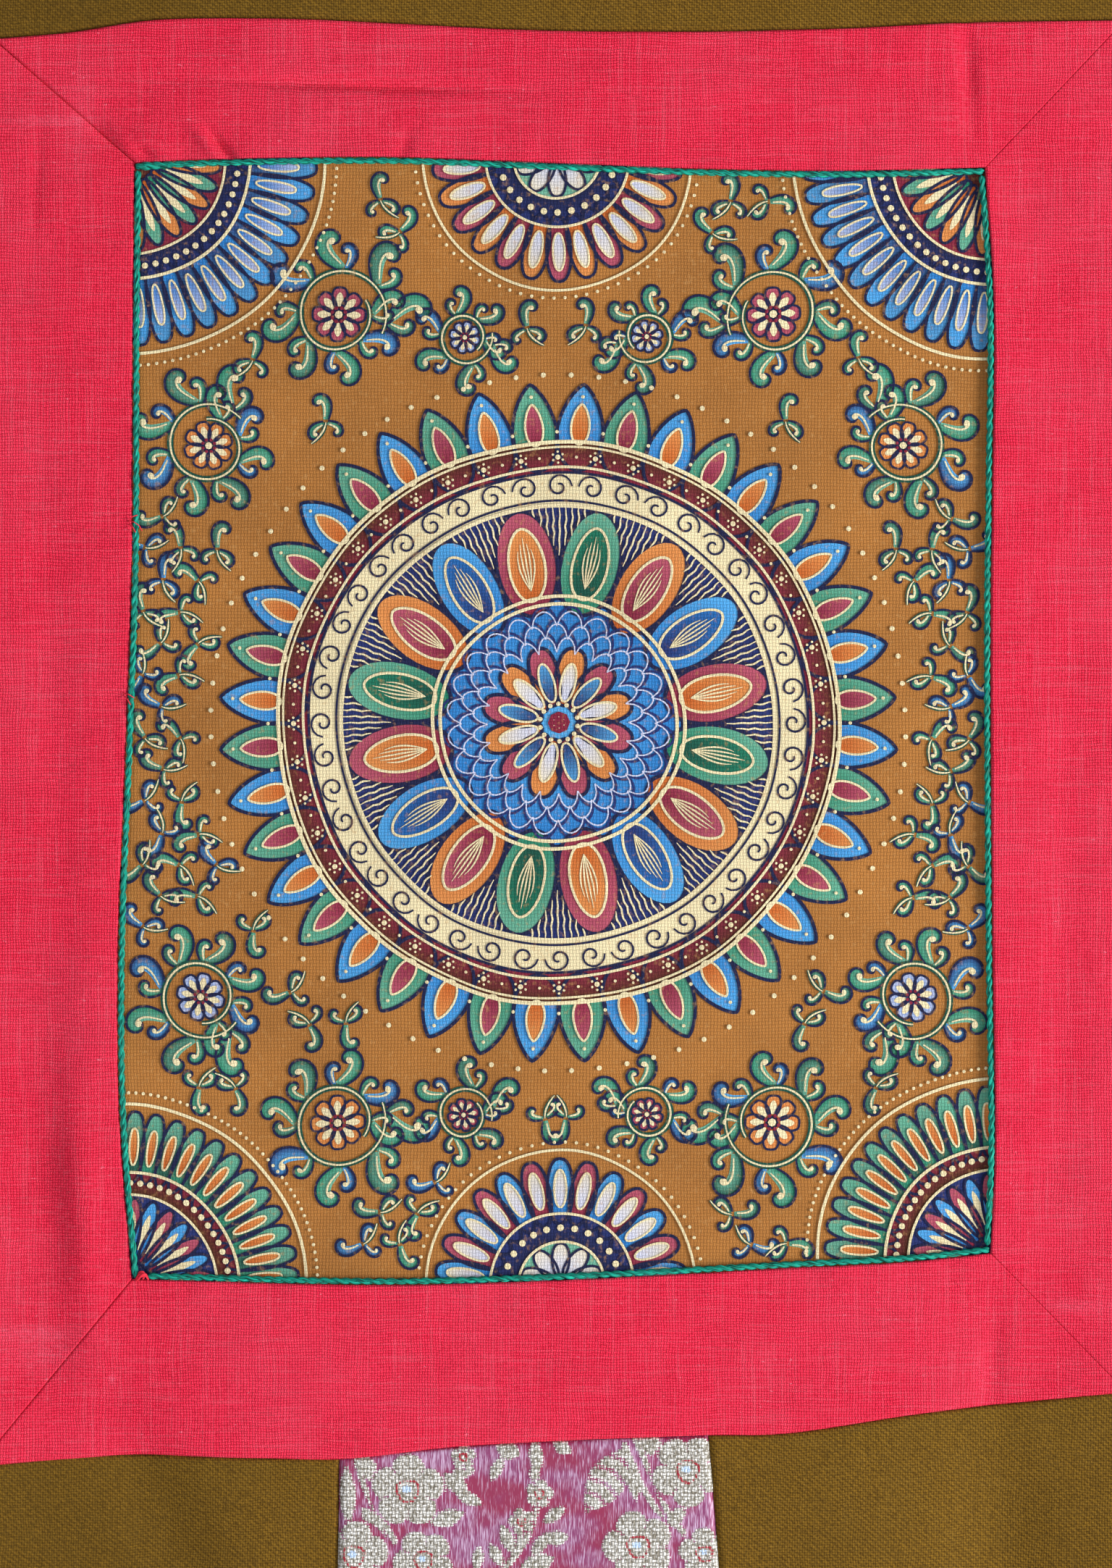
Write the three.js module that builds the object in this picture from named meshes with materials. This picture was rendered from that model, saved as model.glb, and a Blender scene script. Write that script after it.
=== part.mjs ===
// A small hanging scroll painting: a painted cotton panel set behind a mitred red cotton border,
// edged with a twisted green cord, on an olive cloth mount with a brocade door panel below.
// Millimetres, +Z up, +X to the viewer's right, the painted side facing -Y.
// The origin is the middle of the top edge, where the scroll hangs.
import * as THREE from "three";

// Driving dimensions

const PICTURE_LEVEL = -270; // height of the picture's middle, from which every z below is measured
const MOUNT_THICKNESS = 1.2; // olive cloth with its turned seams
const BORDER_THICKNESS = 1.2; // red cotton, doubled at its edges
const CANVAS_THICKNESS = 1.0; // cotton stiffened by its ground and paint
const BORDER_PROUD = 0.5; // the red border stands this far in front of the mount
const DOOR_PROUD = 0.15; // the brocade is a little stiffer than the olive cloth
const FIT_GAP = 0.3; // between neighbouring pieces
const CANVAS_SLACK = 0.3; // the canvas hangs a little loose behind the border
const CANVAS_TUCK = 4; // the canvas reaches this far behind the border
const SEAM_LIP = 3; // width of cloth that rolls back into a seam
const SEAM_DIP = 0.6; // how far it rolls back
const CORD_RADIUS = 1.1;
const CORD_HOLLOW = 0.84; // radius between two strands, as a share of the full radius
const CORD_STRANDS = 3;
const CORD_LAY = 12; // length of one full turn of the strands
const CORD_STEPS_PER_LAY = 6;

// Corners of the border's window, of the border and of the mount, in the plane of the cloth

const at = (x, z) => new THREE.Vector2(x, z);

const WINDOW = {
  topLeft: at(-97.0, 142.9),
  topRight: at(98.8, 141.9),
  bottomLeft: at(-97.6, -113.9),
  bottomRight: at(100.0, -107.9),
};
const BORDER = {
  topLeft: at(-129.6, 171.4),
  topRight: at(131.0, 175.8),
  bottomLeft: at(-133.0, -156.9),
  bottomRight: at(131.2, -139.8),
};
const HEM = {
  topLeft: at(-192, 270),
  topRight: at(193, 270),
  bottomLeft: at(-203, -343),
  bottomRight: at(204, -341),
};
const DOOR = {
  topLeft: at(-50.0, -155.4),
  topRight: at(35.2, -149.9),
  bottomLeft: at(-52.0, -344.5),
  bottomRight: at(44.0, -343.5),
};

// Points that each hand-sewn edge passes between its two corners

const EDGE_POINTS = {
  windowTop: [at(-83, 143.6), at(-38, 144.2), at(-8, 143.1), at(37, 141.4), at(70, 141.1)],
  windowBottom: [at(-83, -114.3), at(-38, -115.2), at(7, -113.8), at(52, -111.4), at(82, -109.8)],
  windowLeft: [at(-97.4, 104), at(-97.6, 51), at(-99.0, 8), at(-100.7, -36), at(-100.5, -75)],
  windowRight: [at(100.8, 110), at(100.4, 69), at(100.0, 34), at(100.4, -36), at(101.0, -85)],
  borderTop: [at(-112, 173.0), at(-92, 175.9), at(-60, 176.0), at(5, 173.2), at(60, 173.7), at(98, 175.4)],
  borderBottomLeft: [at(-113, -155.4), at(-97, -154.6), at(-68, -155.2)],
  borderBottomMiddle: [at(-23, -152.6), at(7, -150.9)],
  borderBottomRight: [at(52, -149.6), at(82, -145.2), at(112, -141.9)],
  borderLeft: [at(-130.6, 60), at(-132.4, -60)],
  borderRight: [at(131.8, 70), at(131.4, -60)],
  hemTop: [],
  hemLeft: [at(-195.0, 120), at(-199.5, -120)],
  hemRight: [at(196.5, 120), at(199.8, -120)],
  hemBottomLeft: [at(-150, -345.2), at(-100, -343.6)],
  hemBottomMiddle: [at(-4, -345.6)],
  hemBottomRight: [at(95, -344.8), at(150, -342.4)],
};

// Soft folds: a row for each, with its middle, the lean of its line from upright in degrees,
// its half width and half length, and how far it comes forward

const FOLDS = [
  { x: 8, z: 12, lean: 0, width: 85, length: 120, rise: 2.2 }, // the stiff canvas bellies out
  { x: -119, z: -88, lean: 0, width: 9, length: 48, rise: -1.8 }, // trough in the left border
  { x: -107, z: -72, lean: 0, width: 8, length: 60, rise: 0.9 },
  { x: 108, z: 130, lean: 12, width: 12, length: 40, rise: -0.9 },
  { x: -90, z: -170, lean: 28, width: 9, length: 26, rise: -2.2 }, // slanting trough below the border
  { x: 102, z: -170, lean: 4, width: 10, length: 30, rise: -1.6 },
  { x: -151, z: -265, lean: -4, width: 22, length: 115, rise: 5.5 }, // flutes of the free lower cloth
  { x: -74, z: -285, lean: 3, width: 19, length: 90, rise: 4.2 },
  { x: -2, z: -290, lean: 0, width: 26, length: 90, rise: 2.6 },
  { x: 66, z: -270, lean: -2, width: 17, length: 85, rise: 4.0 },
  { x: 108, z: -285, lean: 2, width: 16, length: 90, rise: -3.2 },
  { x: 154, z: -250, lean: 5, width: 24, length: 120, rise: 6.0 },
  { x: -201, z: -90, lean: 2, width: 22, length: 150, rise: -4.5 }, // side hems curl back
  { x: 202, z: -110, lean: -2, width: 22, length: 160, rise: -5.0 },
  { x: -160, z: 60, lean: -3, width: 20, length: 110, rise: 2.4 },
  { x: 165, z: 40, lean: 3, width: 18, length: 120, rise: 2.8 },
  { x: 30, z: 226, lean: 84, width: 24, length: 130, rise: -1.8 }, // slack below the top edge
];

function foldDepth(p) {
  let depth = 0;
  for (const fold of FOLDS) {
    const lean = THREE.MathUtils.degToRad(fold.lean);
    const dx = p.x - fold.x;
    const dz = p.y - fold.z;
    const across = dx * Math.cos(lean) + dz * Math.sin(lean);
    const along = dz * Math.cos(lean) - dx * Math.sin(lean);
    depth += fold.rise * Math.exp(-((across / fold.width) ** 2) - (along / fold.length) ** 2);
  }
  return depth;
}

// Seams: each is sampled once into a list of points, so that the cloths on its two sides match

// Shares of a length, with a narrow first or last step where the cloth rolls into a cross seam.
function shares(cells, length, lipAtStart, lipAtEnd) {
  const lip = SEAM_LIP / length;
  const first = lipAtStart ? lip : 0;
  const last = lipAtEnd ? 1 - lip : 1;
  const even = cells - (lipAtStart ? 1 : 0) - (lipAtEnd ? 1 : 0);
  const list = lipAtStart ? [0] : [];
  for (let i = 0; i <= even; i++) list.push(first + ((last - first) * i) / even);
  if (lipAtEnd) list.push(1);
  return list;
}

function seam(start, points, end, cells, lipAtStart = true, lipAtEnd = true) {
  const knots = [start, ...points, end].map((p) => new THREE.Vector3(p.x, p.y, 0));
  const curve = knots.length > 2 ? new THREE.CatmullRomCurve3(knots) : new THREE.LineCurve3(...knots);
  return shares(cells, curve.getLength(), lipAtStart, lipAtEnd).map((share) => {
    const p = curve.getPointAt(share);
    return at(p.x, p.y);
  });
}

const joined = (...lists) => lists.reduce((all, list) => [...all, ...list.slice(all.length ? 1 : 0)], []);
const onHem = (start, end, z) => start.clone().lerp(end, (start.y - z) / (start.y - end.y));

// Cells of the sheets: along the border's top and its sides, across a border strip and a side
// strip, down the top panel and the lower panels, along a third of the border's foot, in the canvas
const ALONG_SHORT = 14;
const ALONG_LONG = 18;
const ACROSS_BORDER = 5;
const ACROSS_SIDE = 5;
const DOWN_TOP = 7;
const DOWN_LOWER = 11;
const BOTTOM_SPAN = 6;
const ACROSS_CANVAS = 14;
const DOWN_CANVAS = 18;

const sideTopLeft = onHem(HEM.topLeft, HEM.bottomLeft, BORDER.topLeft.y);
const sideTopRight = onHem(HEM.topRight, HEM.bottomRight, BORDER.topRight.y);
const sideBottomLeft = onHem(HEM.topLeft, HEM.bottomLeft, BORDER.bottomLeft.y);
const sideBottomRight = onHem(HEM.topRight, HEM.bottomRight, BORDER.bottomRight.y);

const seams = {
  windowTop: seam(WINDOW.topLeft, EDGE_POINTS.windowTop, WINDOW.topRight, ALONG_SHORT),
  windowBottom: seam(WINDOW.bottomLeft, EDGE_POINTS.windowBottom, WINDOW.bottomRight, 3 * BOTTOM_SPAN),
  windowLeft: seam(WINDOW.topLeft, EDGE_POINTS.windowLeft, WINDOW.bottomLeft, ALONG_LONG),
  windowRight: seam(WINDOW.topRight, EDGE_POINTS.windowRight, WINDOW.bottomRight, ALONG_LONG),
  borderTop: seam(BORDER.topLeft, EDGE_POINTS.borderTop, BORDER.topRight, ALONG_SHORT),
  borderLeft: seam(BORDER.topLeft, EDGE_POINTS.borderLeft, BORDER.bottomLeft, ALONG_LONG),
  borderRight: seam(BORDER.topRight, EDGE_POINTS.borderRight, BORDER.bottomRight, ALONG_LONG),
  bottomLeft: seam(BORDER.bottomLeft, EDGE_POINTS.borderBottomLeft, DOOR.topLeft, BOTTOM_SPAN),
  bottomMiddle: seam(DOOR.topLeft, EDGE_POINTS.borderBottomMiddle, DOOR.topRight, BOTTOM_SPAN),
  bottomRight: seam(DOOR.topRight, EDGE_POINTS.borderBottomRight, BORDER.bottomRight, BOTTOM_SPAN),
  mitreTopLeft: seam(WINDOW.topLeft, [], BORDER.topLeft, ACROSS_BORDER),
  mitreTopRight: seam(WINDOW.topRight, [], BORDER.topRight, ACROSS_BORDER),
  mitreBottomLeft: seam(WINDOW.bottomLeft, [], BORDER.bottomLeft, ACROSS_BORDER),
  mitreBottomRight: seam(WINDOW.bottomRight, [], BORDER.bottomRight, ACROSS_BORDER),
  sideTopLeft: seam(sideTopLeft, [], BORDER.topLeft, ACROSS_SIDE, false),
  sideTopRight: seam(BORDER.topRight, [], sideTopRight, ACROSS_SIDE, true, false),
  sideBottomLeft: seam(sideBottomLeft, [], BORDER.bottomLeft, ACROSS_SIDE, false),
  sideBottomRight: seam(BORDER.bottomRight, [], sideBottomRight, ACROSS_SIDE, true, false),
  doorLeft: seam(DOOR.topLeft, [], DOOR.bottomLeft, DOWN_LOWER, true, false),
  doorRight: seam(DOOR.topRight, [], DOOR.bottomRight, DOWN_LOWER, true, false),
};

// Hems: free edges, each with as many steps as the edge that it faces

const hems = {
  topLeft: seam(HEM.topLeft, [], sideTopLeft, DOWN_TOP, false),
  topRight: seam(HEM.topRight, [], sideTopRight, DOWN_TOP, false),
  left: seam(sideTopLeft, EDGE_POINTS.hemLeft, sideBottomLeft, ALONG_LONG),
  right: seam(sideTopRight, EDGE_POINTS.hemRight, sideBottomRight, ALONG_LONG),
  lowerLeft: seam(sideBottomLeft, [], HEM.bottomLeft, DOWN_LOWER, true, false),
  lowerRight: seam(sideBottomRight, [], HEM.bottomRight, DOWN_LOWER, true, false),
  bottomLeft: seam(
    HEM.bottomLeft,
    EDGE_POINTS.hemBottomLeft,
    DOOR.bottomLeft,
    ACROSS_SIDE + BOTTOM_SPAN,
    false,
  ),
  bottomMiddle: seam(DOOR.bottomLeft, EDGE_POINTS.hemBottomMiddle, DOOR.bottomRight, BOTTOM_SPAN),
  bottomRight: seam(
    DOOR.bottomRight,
    EDGE_POINTS.hemBottomRight,
    HEM.bottomRight,
    BOTTOM_SPAN + ACROSS_SIDE,
    true,
    false,
  ),
};

// The top hem has a point straight above each point of the seam below it.
const lowerTopSeam = joined(seams.sideTopLeft, seams.borderTop, seams.sideTopRight);
const topSpan = sideTopRight.x - sideTopLeft.x;
hems.top = lowerTopSeam.map((p) => HEM.topLeft.clone().lerp(HEM.topRight, (p.x - sideTopLeft.x) / topSpan));

// Sheets of cloth

// A point between four edges: top and bottom run along u, left and right along v from top to bottom.
function patchPoint(edges, i, j) {
  const u = i / (edges.top.length - 1);
  const v = j / (edges.left.length - 1);
  const last = edges.top.length - 1;
  const mix = (key) =>
    (1 - v) * edges.top[i][key] +
    v * edges.bottom[i][key] +
    (1 - u) * edges.left[j][key] +
    u * edges.right[j][key] -
    (1 - u) * (1 - v) * edges.top[0][key] -
    u * (1 - v) * edges.top[last][key] -
    (1 - u) * v * edges.bottom[0][key] -
    u * v * edges.bottom[last][key];
  return at(mix("x"), mix("y"));
}

// Moves the outermost points of a patch inwards by half the fit gap, on the edges that are seams.
// A mesh line meets a mitre at about 45 degrees, so the move along it is longer than the gap across.
const SLANT_ALLOWANCE = 1.45;

function drawIn(points, columns, rows, sewn) {
  const pull = (from, to) => {
    const step = to.clone().sub(from);
    return from.clone().addScaledVector(step, (SLANT_ALLOWANCE * FIT_GAP) / 2 / step.length());
  };
  for (let i = 0; i <= columns; i++) {
    if (sewn.top) points[i][0] = pull(points[i][0], points[i][1]);
    if (sewn.bottom) points[i][rows] = pull(points[i][rows], points[i][rows - 1]);
  }
  for (let j = 0; j <= rows; j++) {
    if (sewn.left) points[0][j] = pull(points[0][j], points[1][j]);
    if (sewn.right) points[columns][j] = pull(points[columns][j], points[columns - 1][j]);
  }
}

// A closed sheet over a patch: front faces the viewer, sewn edges roll back by their own dips,
// which fade out towards the edge that lies flat, if there is one.
function sheet(name, material, edges, { front, thickness, sewn = {}, dips = {}, flat = "none" }) {
  const columns = edges.top.length - 1;
  const rows = edges.left.length - 1;
  const points = [];
  for (let i = 0; i <= columns; i++) {
    points.push([]);
    for (let j = 0; j <= rows; j++) points[i].push(patchPoint(edges, i, j));
  }
  drawIn(points, columns, rows, sewn);
  const geometry = new THREE.BoxGeometry(1, 1, 1, columns, rows, 1);
  const position = geometry.getAttribute("position");
  for (let n = 0; n < position.count; n++) {
    const i = Math.round((position.getX(n) + 0.5) * columns);
    const j = Math.round((0.5 - position.getY(n)) * rows);
    const p = points[i][j];
    const fade = {
      none: 1,
      top: j / rows,
      bottom: 1 - j / rows,
      left: i / columns,
      right: 1 - i / columns,
    }[flat];
    const dip =
      fade *
      Math.max(
        i === 0 ? (dips.left ?? 0) : 0,
        i === columns ? (dips.right ?? 0) : 0,
        j === 0 ? (dips.top ?? 0) : 0,
        j === rows ? (dips.bottom ?? 0) : 0,
      );
    const behind = position.getZ(n) > 0 ? 0 : thickness;
    position.setXYZ(n, p.x, behind + dip - front - foldDepth(p), p.y);
  }
  geometry.computeVertexNormals();
  const mesh = new THREE.Mesh(geometry, material);
  mesh.name = name;
  return mesh;
}

// Materials

const cloth = (color, roughness) => new THREE.MeshStandardMaterial({ color, roughness, metalness: 0 });

const redCotton = cloth("#d62b49", 0.9);
const oliveCloth = cloth("#6b4f1c", 0.85);
const brocade = new THREE.MeshStandardMaterial({ color: "#a88f8c", roughness: 0.45, metalness: 0.3 });
const paintedCanvas = cloth("#94601f", 0.8);
const greenSilk = cloth("#0f8a63", 0.5);

// Painted canvas: a plain panel that reaches behind the border on all four sides

const canvasFront = BORDER_PROUD - BORDER_THICKNESS - FIT_GAP - CANVAS_SLACK;

function canvasPanel() {
  const out = (p, dx, dz) => at(p.x + dx * CANVAS_TUCK, p.y + dz * CANVAS_TUCK);
  const corner = {
    topLeft: out(WINDOW.topLeft, -1, 1),
    topRight: out(WINDOW.topRight, 1, 1),
    bottomLeft: out(WINDOW.bottomLeft, -1, -1),
    bottomRight: out(WINDOW.bottomRight, 1, -1),
  };
  const shifted = (points, dx, dz) => points.map((p) => out(p, dx, dz));
  const plain = (start, points, end, cells) => seam(start, points, end, cells, false, false);
  const edges = {
    top: plain(corner.topLeft, shifted(EDGE_POINTS.windowTop, 0, 1), corner.topRight, ACROSS_CANVAS),
    bottom: plain(
      corner.bottomLeft,
      shifted(EDGE_POINTS.windowBottom, 0, -1),
      corner.bottomRight,
      ACROSS_CANVAS,
    ),
    left: plain(corner.topLeft, shifted(EDGE_POINTS.windowLeft, -1, 0), corner.bottomLeft, DOWN_CANVAS),
    right: plain(corner.topRight, shifted(EDGE_POINTS.windowRight, 1, 0), corner.bottomRight, DOWN_CANVAS),
  };
  return sheet("painting", paintedCanvas, edges, { front: canvasFront, thickness: CANVAS_THICKNESS });
}

// Red border: four strips, mitred at the corners, with their inner edges lying flat on the canvas

function borderStrip(name, edges, outerSide) {
  const flat = { top: "bottom", bottom: "top", left: "right", right: "left" }[outerSide];
  const sewn = { top: true, bottom: true, left: true, right: true, [flat]: false };
  const dips = { top: SEAM_DIP, bottom: SEAM_DIP, left: SEAM_DIP, right: SEAM_DIP };
  const levels = { front: BORDER_PROUD, thickness: BORDER_THICKNESS };
  return sheet(name, redCotton, edges, { ...levels, sewn, dips, flat });
}

const reversed = (list) => [...list].reverse();

function redBorder() {
  const s = seams;
  const wholeBottom = joined(s.bottomLeft, s.bottomMiddle, s.bottomRight);
  return [
    borderStrip(
      "border_top",
      {
        top: s.borderTop,
        bottom: s.windowTop,
        left: reversed(s.mitreTopLeft),
        right: reversed(s.mitreTopRight),
      },
      "top",
    ),
    borderStrip(
      "border_bottom",
      { top: s.windowBottom, bottom: wholeBottom, left: s.mitreBottomLeft, right: s.mitreBottomRight },
      "bottom",
    ),
    borderStrip(
      "border_left",
      {
        top: reversed(s.mitreTopLeft),
        bottom: reversed(s.mitreBottomLeft),
        left: s.borderLeft,
        right: s.windowLeft,
      },
      "left",
    ),
    borderStrip(
      "border_right",
      { top: s.mitreTopRight, bottom: s.mitreBottomRight, left: s.windowRight, right: s.borderRight },
      "right",
    ),
  ];
}

// Olive mount: a top panel, two side strips and two lower panels, seamed round the border

function oliveMount() {
  const s = seams;
  const panel = (name, edges, sides) => {
    const sewn = Object.fromEntries(sides.map((side) => [side, true]));
    const dips = Object.fromEntries(sides.map((side) => [side, SEAM_DIP]));
    return sheet(name, oliveCloth, edges, { front: 0, thickness: MOUNT_THICKNESS, sewn, dips });
  };
  return [
    panel(
      "mount_top",
      { top: hems.top, bottom: lowerTopSeam, left: hems.topLeft, right: hems.topRight },
      ["bottom"],
    ),
    panel(
      "mount_left",
      { top: s.sideTopLeft, bottom: s.sideBottomLeft, left: hems.left, right: s.borderLeft },
      ["top", "bottom", "right"],
    ),
    panel(
      "mount_right",
      { top: s.sideTopRight, bottom: s.sideBottomRight, left: s.borderRight, right: hems.right },
      ["top", "bottom", "left"],
    ),
    panel(
      "mount_lower_left",
      {
        top: joined(s.sideBottomLeft, s.bottomLeft),
        bottom: hems.bottomLeft,
        left: hems.lowerLeft,
        right: s.doorLeft,
      },
      ["top", "right"],
    ),
    panel(
      "mount_lower_right",
      {
        top: joined(s.bottomRight, s.sideBottomRight),
        bottom: hems.bottomRight,
        left: s.doorRight,
        right: hems.lowerRight,
      },
      ["top", "left"],
    ),
  ];
}

// Brocade door: one panel let into the lower mount below the border

function brocadeDoor() {
  const edges = {
    top: seams.bottomMiddle,
    bottom: hems.bottomMiddle,
    left: seams.doorLeft,
    right: seams.doorRight,
  };
  return sheet("door_panel", brocade, edges, {
    front: DOOR_PROUD,
    thickness: MOUNT_THICKNESS,
    sewn: { top: true, left: true, right: true },
    dips: { top: SEAM_DIP, left: SEAM_DIP, right: SEAM_DIP },
  });
}

// Green cord: four lengths of twisted cord, couched in the corner between the border and the canvas

const CORD_INSET = CORD_RADIUS + FIT_GAP;
const CORD_SIDES = 2 * CORD_STRANDS;

function cordLength(name, windowEdge, inward, trim) {
  const route = new THREE.CatmullRomCurve3(
    windowEdge
      .filter((p, n) => n !== 1 && n !== windowEdge.length - 2)
      .map((p) => at(p.x + inward.x * CORD_INSET, p.y + inward.y * CORD_INSET))
      .map((p) => new THREE.Vector3(p.x, -(canvasFront + CORD_INSET) - foldDepth(p), p.y)),
  );
  const length = route.getLength();
  const steps = Math.round((length * CORD_STEPS_PER_LAY) / CORD_LAY);
  const geometry = new THREE.CylinderGeometry(1, 1, 1, CORD_SIDES, steps);
  const position = geometry.getAttribute("position");
  const side = new THREE.Vector3();
  const forward = new THREE.Vector3(0, -1, 0);
  for (let n = 0; n < position.count; n++) {
    const step = Math.round((position.getY(n) + 0.5) * steps);
    const share = THREE.MathUtils.lerp(trim / length, 1 - trim / length, step / steps);
    const centre = route.getPointAt(share);
    side.crossVectors(forward, route.getTangentAt(share)).normalize();
    const onAxis = Math.hypot(position.getX(n), position.getZ(n)) < 0.5;
    const facet = Math.round((Math.atan2(position.getX(n), position.getZ(n)) * CORD_SIDES) / (2 * Math.PI));
    const hollow = Math.abs(facet) % 2 === 1 ? CORD_HOLLOW : 1;
    const radius = onAxis ? 0 : CORD_RADIUS * hollow;
    const turn = (2 * Math.PI * facet) / CORD_SIDES + (2 * Math.PI * step) / CORD_STEPS_PER_LAY;
    centre.addScaledVector(side, radius * Math.cos(turn)).addScaledVector(forward, radius * Math.sin(turn));
    position.setXYZ(n, centre.x, centre.y, centre.z);
  }
  geometry.computeVertexNormals();
  const mesh = new THREE.Mesh(geometry, greenSilk);
  mesh.name = name;
  return mesh;
}

function greenCord() {
  const acrossTrim = FIT_GAP; // the level lengths run from mitre to mitre
  const uprightTrim = 2 * CORD_INSET; // the upright lengths stop against them
  return [
    cordLength("cord_top", seams.windowTop, at(0, -1), acrossTrim),
    cordLength("cord_bottom", seams.windowBottom, at(0, 1), acrossTrim),
    cordLength("cord_left", seams.windowLeft, at(1, 0), uprightTrim),
    cordLength("cord_right", seams.windowRight, at(-1, 0), uprightTrim),
  ];
}

// The whole scroll

const picture = new THREE.Group();
picture.add(canvasPanel(), ...redBorder(), ...oliveMount(), brocadeDoor(), ...greenCord());
picture.position.z = PICTURE_LEVEL;

const scroll = new THREE.Group();
scroll.add(picture);

export default scroll;
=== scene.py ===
import math

import bpy
import numpy as np
from mathutils import Matrix, Vector


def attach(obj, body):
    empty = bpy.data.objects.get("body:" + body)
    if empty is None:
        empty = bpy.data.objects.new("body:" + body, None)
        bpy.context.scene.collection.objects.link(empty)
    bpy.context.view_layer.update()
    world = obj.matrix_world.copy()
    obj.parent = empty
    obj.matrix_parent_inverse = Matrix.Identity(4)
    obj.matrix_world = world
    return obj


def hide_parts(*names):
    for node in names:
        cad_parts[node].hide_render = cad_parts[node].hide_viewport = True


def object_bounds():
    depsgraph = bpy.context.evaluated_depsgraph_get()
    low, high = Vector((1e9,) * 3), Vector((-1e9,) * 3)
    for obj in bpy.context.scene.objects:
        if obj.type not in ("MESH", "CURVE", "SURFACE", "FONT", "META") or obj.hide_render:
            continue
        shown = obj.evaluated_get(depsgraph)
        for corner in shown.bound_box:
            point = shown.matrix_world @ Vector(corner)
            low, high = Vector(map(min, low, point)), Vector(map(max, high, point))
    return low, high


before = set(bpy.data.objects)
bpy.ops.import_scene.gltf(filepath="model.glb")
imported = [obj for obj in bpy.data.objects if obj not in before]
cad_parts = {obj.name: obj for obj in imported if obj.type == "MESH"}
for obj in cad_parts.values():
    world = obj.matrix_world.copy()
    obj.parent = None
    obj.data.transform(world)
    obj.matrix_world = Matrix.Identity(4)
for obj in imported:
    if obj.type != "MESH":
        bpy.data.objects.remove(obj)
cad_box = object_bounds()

# Camera: straight in front of the picture, at arm's length, level with its middle.
# The view takes in the picture, its border and a strip of the mount above and below.
MM = 0.001
PICTURE_LEVEL = -270  # mm, height of the picture's middle, from which every z below is measured
VIEW_HEIGHT = 360.8  # mm of cloth that the picture frame takes in from top to bottom
CAMERA_DISTANCE = 900  # mm
SENSOR_HEIGHT = 36  # mm

eye = bpy.data.cameras.new("eye")
eye.sensor_fit = "VERTICAL"
eye.sensor_height = SENSOR_HEIGHT
eye.lens = SENSOR_HEIGHT * CAMERA_DISTANCE / VIEW_HEIGHT
camera = bpy.data.objects.new("camera", eye)
camera.location = (0, -CAMERA_DISTANCE * MM, PICTURE_LEVEL * MM)
camera.rotation_euler = (math.radians(90), 0, 0)
bpy.context.scene.collection.objects.link(camera)
bpy.context.scene.camera = camera


# Painted canvas: a panel of plain-weave cotton, sized and rubbed smooth with an ochre ground.
# It hangs behind the border's window with its raw edges tucked out of sight.
FOLDS = (  # soft folds: middle x and z, lean from upright in degrees, half width, half length, rise; mm
    (8, 12, 0, 85, 120, 2.2),
    (-119, -88, 0, 9, 48, -1.8),
    (-107, -72, 0, 8, 60, 0.9),
    (108, 130, 12, 12, 40, -0.9),
    (-90, -170, 28, 9, 26, -2.2),
    (102, -170, 4, 10, 30, -1.6),
    (-151, -265, -4, 22, 115, 5.5),
    (-74, -285, 3, 19, 90, 4.2),
    (-2, -290, 0, 26, 90, 2.6),
    (66, -270, -2, 17, 85, 4.0),
    (108, -285, 2, 16, 90, -3.2),
    (154, -250, 5, 24, 120, 6.0),
    (-201, -90, 2, 22, 150, -4.5),
    (202, -110, -2, 22, 160, -5.0),
    (-160, 60, -3, 20, 110, 2.4),
    (165, 40, 3, 18, 120, 2.8),
    (30, 226, 84, 24, 130, -1.8),
)
WINDOW_TOP = ((-97, 142.9), (-83, 143.6), (-38, 144.2), (-8, 143.1), (37, 141.4), (70, 141.1), (98.8, 141.9))
WINDOW_BOTTOM = (
    (-97.6, -113.9), (-83, -114.3), (-38, -115.2), (7, -113.8), (52, -111.4), (82, -109.8), (100, -107.9)
)
WINDOW_LEFT = (
    (-97, 142.9), (-97.4, 104), (-97.6, 51), (-99, 8), (-100.7, -36), (-100.5, -75), (-97.6, -113.9)
)
WINDOW_RIGHT = (
    (98.8, 141.9), (100.8, 110), (100.4, 69), (100, 34), (100.4, -36), (101, -85), (100, -107.9)
)
CANVAS_FRONT = -1.3  # mm in front of the mount's face
CANVAS_TUCK = 4  # mm that the canvas reaches behind the border
CANVAS_THICKNESS = 0.6  # mm
CANVAS_PITCH = 4  # mm between points
CANVAS_WEAVE = 0.75  # mm between threads as drawn
EDGE_STEPS = np.array([0, 0.12, 0.3, 0.6, 1.0, 1.6, 2.4])  # mm from an edge, where the cloth rolls back
OUTWARD = {"top": (0, 1), "bottom": (0, -1), "left": (-1, 0), "right": (1, 0)}
SHARPEST_BEND = 50  # degrees between faces that are still shaded as one
ALLOWANCE = 5.0  # mm of cloth that runs on past a seam, behind its neighbour
ALLOWANCE_DROP = 0.4  # mm that its free edge lies behind the bottom of the seam
ALLOWANCE_TRIM = 0.03  # share of the seam's length by which the free edge is trimmed


def leaned(dx, dz, degrees):
    """Distances across and along a line that leans from upright."""
    lean = math.radians(degrees)
    return dx * math.cos(lean) + dz * math.sin(lean), dz * math.cos(lean) - dx * math.sin(lean)


def rises(folds, x, z):
    """How far a table of folds brings the cloth forward at x, z, in mm."""
    depth = np.zeros(np.broadcast(x, z).shape)
    for fold_x, fold_z, lean, width, length, rise in folds:
        across, along = leaned(x - fold_x, z - fold_z, lean)
        depth += rise * np.exp(-((across / width) ** 2) - (along / length) ** 2)
    return depth


def hung(x, z, front):
    """Points of the hanging cloth in metres, from mm in its plane and mm in front of the mount's face."""
    return np.stack([x, -(front + rises(FOLDS, x, z)), z + PICTURE_LEVEL], axis=-1) * MM


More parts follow.
